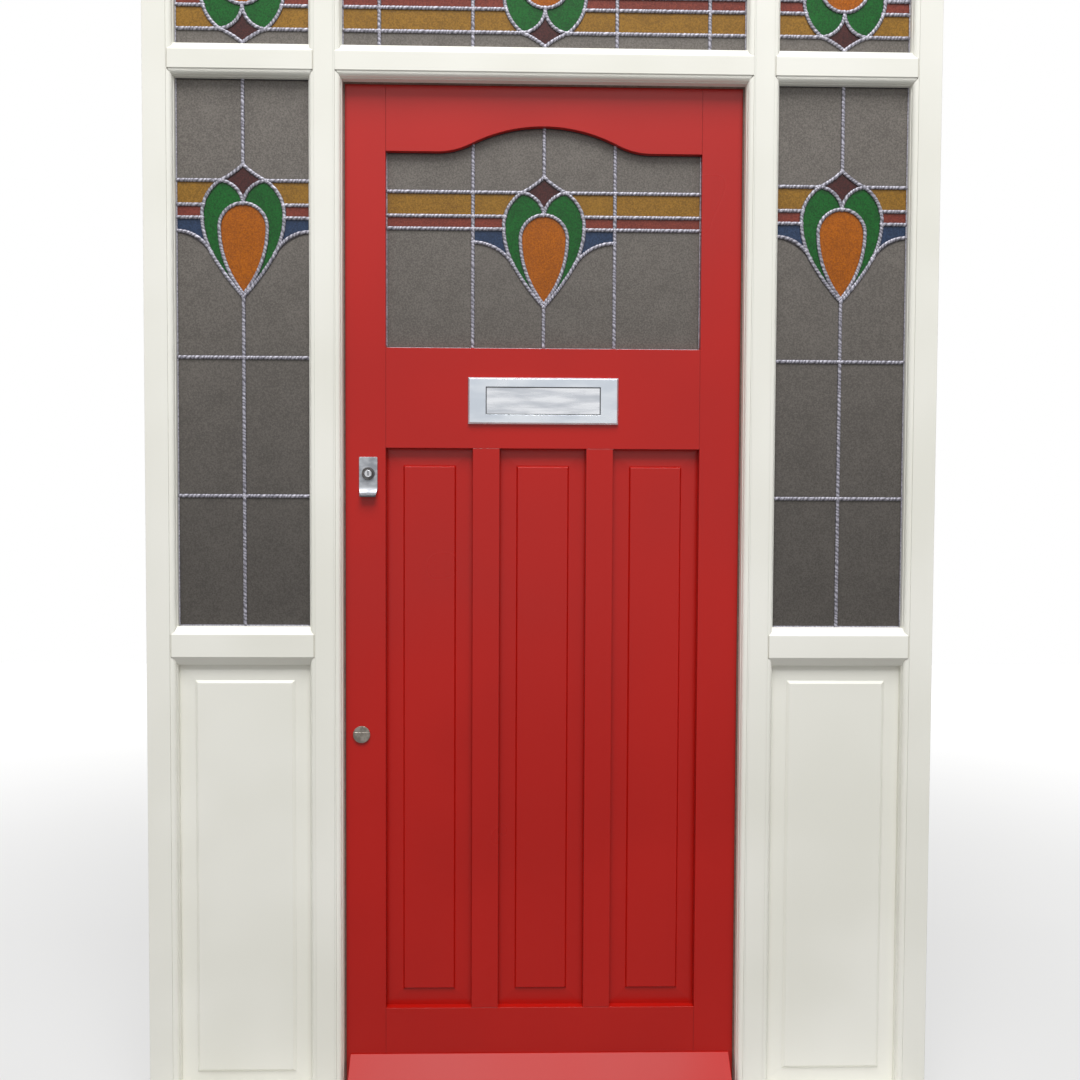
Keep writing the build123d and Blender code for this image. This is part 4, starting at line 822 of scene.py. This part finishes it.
# top of the door light's opening at x: crest - radius + (radius^2 - x^2)^0.5 in the middle, then
# the hollow arc shoulder + h - (h^2 - (half - x)^2)^0.5, then the level shoulder
def archHeight(x):
    shoulder, crest, half, radius = (arch[key] for key in ("shoulder", "crest", "half", "radius"))
    reach = (half**2 + (crest - shoulder) ** 2) / (2 * (crest - shoulder))
    hollow = reach - radius
    if abs(x) <= radius * half / reach:
        return crest - radius + math.sqrt(radius**2 - x**2)
    if abs(x) < half:
        return shoulder + hollow - math.sqrt(hollow**2 - (half - abs(x)) ** 2)
    return shoulder


lightPlaces = {
    "sideX": 0.58825,
    "sideHalf": 0.12975,
    "sideTip": 0.164,    # below the transom
    "topHigh": 2.474,
    "topTip": 0.006,     # above the transom
    "motifSpan": 0.141,  # of the uprights beside the motif, from the middle
}
sideX, sideHalf, motifSpan = (lightPlaces[key] for key in ("sideX", "sideHalf", "motifSpan"))
sideHigh, topLow = place("right_transom", 0, "z"), place("centre_transom", 1, "z")
doorLight = {
    "x": 0.0, "half": 0.3125, "low": place("door_lock_rail", 1, "z"), "high": arch["crest"],
    "top": archHeight, "tip": 1.895, "along": -1,
    "bands": motif["bands"], "uprights": (motifSpan,), "bars": (),
}
sideLight = {
    "half": sideHalf, "low": place("right_midrail", 1, "z"), "high": sideHigh,
    "tip": sideHigh - lightPlaces["sideTip"], "along": -1,
    "bands": motif["bands"], "uprights": (), "bars": (1.5315, 1.260),
}
topLight = {
    "half": sideHalf, "low": topLow, "high": lightPlaces["topHigh"],
    "tip": topLow + lightPlaces["topTip"], "along": 1,
    "bands": motif["topBands"], "uprights": (), "bars": (),
}
centreLight = {**topLight, "x": 0.0, "half": 0.3945, "uprights": (motifSpan, 0.323)}
sideLights = [{**sideLight, "x": x} for x in (-sideX, sideX)]
topLights = [{**topLight, "x": x} for x in (-sideX, sideX)] + [centreLight]
for group, body, node, lights in (
    ("doorLight", "leaf", "door_lead", [doorLight]),
    ("sideLights", "frame", "fixed_light_lead", sideLights),
    ("topLights", "frame", "fixed_light_lead", topLights),
):
    laid = [lightCames(light) for light in lights]
    curves = [curve for found, _ in laid for curve in found]
    knots = [knot for _, found in laid for knot in found]
    edges = [curve for light in lights for curve in borderCurves(light)]
    front, back = place(node, 0, "y"), place(node, 1, "y")
    plain = {"twist": False, "skip": came["backSkip"]}
    for piece in (
        strands(group + "CameFront", curves, front, -1),
        strands(group + "Border", edges, front, -1, size=came["borderSize"], **plain),
        strands(group + "CameBack", curves, back, 1, **plain),
        solderDomes(group + "SolderFront", knots, front, -1),
        solderDomes(group + "SolderBack", knots, back, 1),
    ):
        piece.data.materials.append(leadFace)
        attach(piece, body)
        print(piece.name, len(piece.data.polygons), "faces")


marginSettings = {
    # raise and run are those of the field's bevel, and rise is the slope's own where they meet
    "door": {"margin": 0.032, "raise": 0.006, "run": 0.005, "rise": 0.0023},
    "side": {"margin": 0.028, "raise": 0.006, "run": 0.009, "rise": 0.0020},
    "doorCentres": (-0.226, 0.0, 0.226),
    "doorHalf": 0.0855,
    "sunk": 0.0003,  # behind the flat margin and past the opening's edge
    "foot": 0.0002,  # rise at the opening's edge
}


# section of one margin as (inset, rise): outer edge, field edge on the bevel, two sunk corners
def marginProfile(settings):
    sunk = marginSettings["sunk"]
    inner = settings["margin"] + settings["run"] * settings["rise"] / settings["raise"]
    outer, field = (-sunk, marginSettings["foot"]), (inner, settings["rise"])
    return outer, field, (inner, -sunk), (-sunk, -sunk)


# mitred rings of sloped margin: each rectangle (centre, half, low, high) is drawn in by every inset
# of the profile and raised by its rise, and the profile closes on itself
def marginRings(name, rectangles, profile, planeY, facing):
    corner, faces = [], []
    inset, rise = np.array(profile).T
    acrossSigns = np.array([-1, 1, 1, -1])[:, None]
    upSigns = np.array([-1, -1, 1, 1])[:, None]
    for index, (centre, half, low, high) in enumerate(rectangles):
        x = centre + acrossSigns * (half - inset)
        z = (low + high) / 2 + upSigns * ((high - low) / 2 - inset)
        y = planeY + facing * np.broadcast_to(rise, x.shape)
        grid = index * x.size + np.arange(x.size).reshape(x.shape)
        onward, beside = np.roll(grid, -1, axis=0), np.roll(grid, -1, axis=1)
        quads = np.stack([grid, beside, np.roll(beside, -1, axis=0), onward], 2).reshape(-1, 4)
        faces += quads.tolist()
        corner.append(np.stack([x, y, z], 2).reshape(-1, 3))
    return meshPiece(name, np.vstack(corner), faces)


sideFoot, sideHead = place("side_bottom_rails", 1, "z"), place("right_midrail", 0, "z")
doorOpenings = [
    (centre, marginSettings["doorHalf"], bottomRailTop, lockRailFoot)
    for centre in marginSettings["doorCentres"]
]
sideOpenings = [(centre, sideHalf, sideFoot, sideHead) for centre in (-sideX, sideX)]
doorMargin, sideMargin = marginSettings["door"], marginSettings["side"]
doorFront = place("door_centre_panel", 0, "y") + doorMargin["raise"]
doorBack = place("door_centre_panel", 1, "y") - doorMargin["raise"]
sideFront = place("side_panels", 0, "y") + sideMargin["raise"]
for name, openings, settings, planeY, facing, material, slot, body in (
    ("doorMarginsFront", doorOpenings, doorMargin, doorFront, -1, redUpright, "red_paint", "leaf"),
    ("doorMarginsBack", doorOpenings, doorMargin, doorBack, 1, redUpright, "red_paint", "leaf"),
    ("sideMargins", sideOpenings, sideMargin, sideFront, -1, whiteUpright, "white_paint", "frame"),
):
    piece = marginRings(name, openings, marginProfile(settings), planeY, facing)
    piece.data.materials.append(material)
    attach(piece, body)
    print(piece.name, len(piece.data.polygons), "faces")


screwSettings = {
    "kinds": {  # radius, rise and slot depth of each kind of head
        "flush": (0.0036, 0.00026, 0.00018),
        "round": (0.0034, 0.0013, 0.0008),
        "small": (0.0023, 0.0009, 0.0006),
    },
    "rings": 13,
    "spokes": 48,
    "slotHalf": 0.00045,
    "slotSoft": 0.00030,  # of the slot's sloped wall
    "slotReach": 0.97,    # share of the radius where the slot ends
    "sunk": 0.0003,
}


# slotted heads: height = rise (1 - r^4)^0.5 less slotDepth within slotHalf of the slot's line, over
# a disc on a plane whose outward direction is out; spots are (place, out, turn of the slot, kind)
def screwHeads(name, spots):
    rings, spokes, slotHalf, slotSoft = (
        screwSettings[key] for key in ("rings", "spokes", "slotHalf", "slotSoft")
    )
    share = np.linspace(0, 1, rings + 1)[1:, None]
    spin = np.arange(spokes)[None, :] / spokes * 2 * math.pi
    upward = np.array((0, 0, 1.0))
    corner, faces = [], []
    for index, (at, out, turn, kind) in enumerate(spots):
        radius, rise, slotDepth = screwSettings["kinds"][kind]
        out = np.array(out, float)
        sideways = np.cross(out, upward)
        u, v = radius * share * np.cos(spin), radius * share * np.sin(spin)
        offset = np.abs(u * math.sin(turn) - v * math.cos(turn))
        slot = np.clip((slotHalf + slotSoft - offset) / slotSoft, 0, 1)
        cut = slotDepth * slot * (share < screwSettings["slotReach"])
        height = rise * np.sqrt(1 - share**4) * np.ones_like(spin) - cut
        height[-1] = -screwSettings["sunk"]
        flat = np.array(at) + u[..., None] * upward + v[..., None] * sideways
        points = flat + height[..., None] * out
        middle = np.array(at) + (rise - slotDepth) * out
        corner += [middle[None, :], points.reshape(-1, 3)]
        faces += discFaces(index * (rings * spokes + 1), rings, spokes)
    piece = meshPiece(name, np.vstack(corner), faces, smooth=True)
    piece.data.materials.append(metals["steel"])
    return piece


# places from the middle of what each screw holds; a turn is radians of the slot for a metre, or
# for a side, of its place, so that no two slots are alike
screwPlaces = {
    "plate": {"across": 0.1265, "rise": 0.030, "riseTurn": 40},
    "rose": {"across": 0.012, "sideTurn": 0.7},
    "latch": {"inset": 0.009, "acrossTurn": 9, "levelTurn": 5, "keepTurn": 7},
    "lock": {"rise": 0.051, "caseTurn": 20, "keepTurn": 31},
    "hinge": {
        "levels": (0.275, 1.066, 1.857),
        "rows": ((-0.036, 0.054), (-0.013, 0.066), (0.013, 0.066), (0.036, 0.054)),  # rise, depth
        "gap": 0.0003,  # from the middle of the pin to the leaf's face
        "frameTurn": 50,
        "leafTurn": 40,
    },
}
inward, toLeft, toRight = (0, 1, 0), (-1, 0, 0), (1, 0, 0)
sides = (-1, 1)
plate, rose, latch, lock, hinge = (
    screwPlaces[key] for key in ("plate", "rose", "latch", "lock", "hinge")
)
plateLevel, plateBack = midway("letter_plate", "z"), place("letter_plate", 1, "y")
lockLevel, lockMiddle = midway("deadlock_case", "z"), midway("deadlock_case", "y")
roseX, roseBack = midway("key_roses", "x"), place("key_roses", 1, "y")
faceplateX, keepEdge = place("deadlock_case", 0, "x"), place("deadbolt_keep", 1, "x")
caseLow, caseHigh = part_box("latch_case")
keepLow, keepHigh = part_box("latch_keep")
caseXs = (caseLow.x + latch["inset"], caseHigh.x - latch["inset"])
caseZs = (caseLow.z + latch["inset"], caseHigh.z - latch["inset"])
keepX = midway("latch_keep", "x")
keepZs = (keepLow.z + latch["inset"], keepHigh.z - latch["inset"])
lockRises = (-lock["rise"], lock["rise"])
leafSpots = [
    (
        (side * plate["across"], plateBack, plateLevel + rise),
        inward, side + rise * plate["riseTurn"], "round",
    )
    for side in sides for rise in (-plate["rise"], plate["rise"])
]
leafSpots += [
    ((roseX + side * rose["across"], roseBack, lockLevel), inward, rose["sideTurn"] * side, "small")
    for side in sides
]
leafSpots += [
    ((x, caseHigh.y, z), inward, latch["acrossTurn"] * x + latch["levelTurn"] * z, "round")
    for x in caseXs for z in caseZs
]
leafSpots += [
    ((faceplateX, lockMiddle, lockLevel + rise), toLeft, lock["caseTurn"] * rise, "flush")
    for rise in lockRises
]
frameSpots = [
    ((keepEdge, lockMiddle, lockLevel + rise), toRight, lock["keepTurn"] * rise, "flush")
    for rise in lockRises
]
frameSpots += [((keepX, keepHigh.y, z), inward, latch["keepTurn"] * z, "round") for z in keepZs]
frameFace, leafFace = (midway("hinge_pins", "x") + side * hinge["gap"] for side in (1, -1))
for level in hinge["levels"]:
    for rise, depth in hinge["rows"]:
        frameTurn, leafTurn = hinge["frameTurn"] * rise + level, hinge["leafTurn"] * rise - level
        frameSpots.append(((frameFace, depth, level + rise), toLeft, frameTurn, "flush"))
        leafSpots.append(((leafFace, depth, level - rise), toRight, leafTurn, "flush"))
for body, spots in (("leaf", leafSpots), ("frame", frameSpots)):
    piece = screwHeads(body + "Screws", spots)
    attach(piece, body)
    print(piece.name, len(spots), "heads")


white = (1.0, 1.0, 1.0, 1.0)
floorSettings = {
    "half": 6.0,
    "light": (0.27, 0.27, 0.267, 1.0),
    "shade": (0.25, 0.25, 0.247, 1.0),
    "patch": 0.7,              # scale of the noise between the two tones
    "span": (0.3, 0.7),
    "roughness": 0.7,
    "lift": (0.50, 0.85),      # what the camera sees added, near and far
    "liftReach": (1.2, 5.5),
}


def makeFloor():
    half = floorSettings["half"]
    corners = np.array([(-half, -half, 0), (half, -half, 0), (half, half, 0), (-half, half, 0)])
    floor = meshPiece("studioFloor", corners, [[0, 1, 2, 3]])
    material, tree, shader = newMaterial("studioFloor")
    tone = noise(tree, objectPoint(tree), floorSettings["patch"])
    dark, light = floorSettings["shade"], floorSettings["light"]
    colour = twoTones(tree, tone, floorSettings["span"], dark, light, smooth=False)
    feed(tree, shader.inputs["Base Color"], colour)
    shader.inputs["Roughness"].default_value = floorSettings["roughness"]
    shader.inputs["Emission Color"].default_value = white
    rays = tree.nodes.new("ShaderNodeLightPath")
    away = tree.nodes.new("ShaderNodeVectorMath")
    away.operation = "LENGTH"
    feed(tree, away.inputs[0], objectPoint(tree))
    distance = away.outputs["Value"]
    added = remap(tree, distance, *floorSettings["liftReach"], *floorSettings["lift"])
    lift = calc(tree, "MULTIPLY", rays.outputs["Is Camera Ray"], added)
    feed(tree, shader.inputs["Emission Strength"], lift)
    floor.data.materials.append(material)


backdrop = {"light": 0.345, "reflected": 0.88}  # strengths; the camera sees 1


def makeWorld():
    world = bpy.data.worlds.new("studioWorld")
    bpy.context.scene.world = world
    world.use_nodes = True
    tree = world.node_tree
    background = tree.nodes["Background"]
    rays = tree.nodes.new("ShaderNodeLightPath").outputs
    mirrored = calc(tree, "MAXIMUM", rays["Is Glossy Ray"], rays["Is Transmission Ray"])
    seen = calc(tree, "MAXIMUM", rays["Is Camera Ray"], mirrored)
    soft = remap(tree, seen, 0.0, 1.0, backdrop["light"], backdrop["reflected"], smooth=False)
    background.inputs["Color"].default_value = white
    strength = calc(tree, "MAXIMUM", soft, rays["Is Camera Ray"])
    feed(tree, background.inputs["Strength"], strength)


lamps = {  # power, size, place, point it faces
    "softFront": (9.5, (3.4, 2.0), (0.0, -3.4, 3.4), (0.0, 0.0, 1.5)),
    "softTop": (945.0, (6.0, 4.5), (0.0, -4.6, 9.2), (0.0, 0.0, 1.1)),
}


def makeLamps():
    for name, (power, size, at, aim) in lamps.items():
        lamp = bpy.data.lights.new(name, "AREA")
        lamp.shape = "RECTANGLE"
        lamp.size, lamp.size_y = size
        lamp.energy = power
        holder = bpy.data.objects.new(name, lamp)
        bpy.context.scene.collection.objects.link(holder)
        holder.location = at
        holder.rotation_mode = "QUATERNION"
        holder.rotation_quaternion = (Vector(aim) - Vector(at)).to_track_quat("-Z", "Y")


lens = {
    "length": 35.05,
    "sensor": 36.0,
    "place": (-0.0502, -2.065, 1.2499),
    "down": 2.042,
    "right": 1.231,
    "roll": 0.273,
}


# camera of the photograph: turned right, tilted down and rolled by the given degrees
def makeCamera():
    down, right, roll = (math.radians(lens[key]) for key in ("down", "right", "roll"))
    level = Vector((math.cos(right), -math.sin(right), 0))
    ahead = Vector((
        math.sin(right) * math.cos(down), math.cos(right) * math.cos(down), -math.sin(down),
    ))
    up = level.cross(ahead)
    across = level * math.cos(roll) + up * math.sin(roll)
    upright = up * math.cos(roll) - level * math.sin(roll)
    data = bpy.data.cameras.new("photoCamera")
    data.lens = lens["length"]
    data.sensor_width = lens["sensor"]
    camera = bpy.data.objects.new("photoCamera", data)
    bpy.context.scene.collection.objects.link(camera)
    matrix = Matrix((across, upright, -ahead)).transposed().to_4x4()
    matrix.translation = Vector(lens["place"])
    camera.matrix_world = matrix
    bpy.context.scene.camera = camera


makeFloor()
makeWorld()
makeLamps()
makeCamera()
print("floor, light and camera ready")
bpy.context.scene.view_settings.view_transform = "Standard"
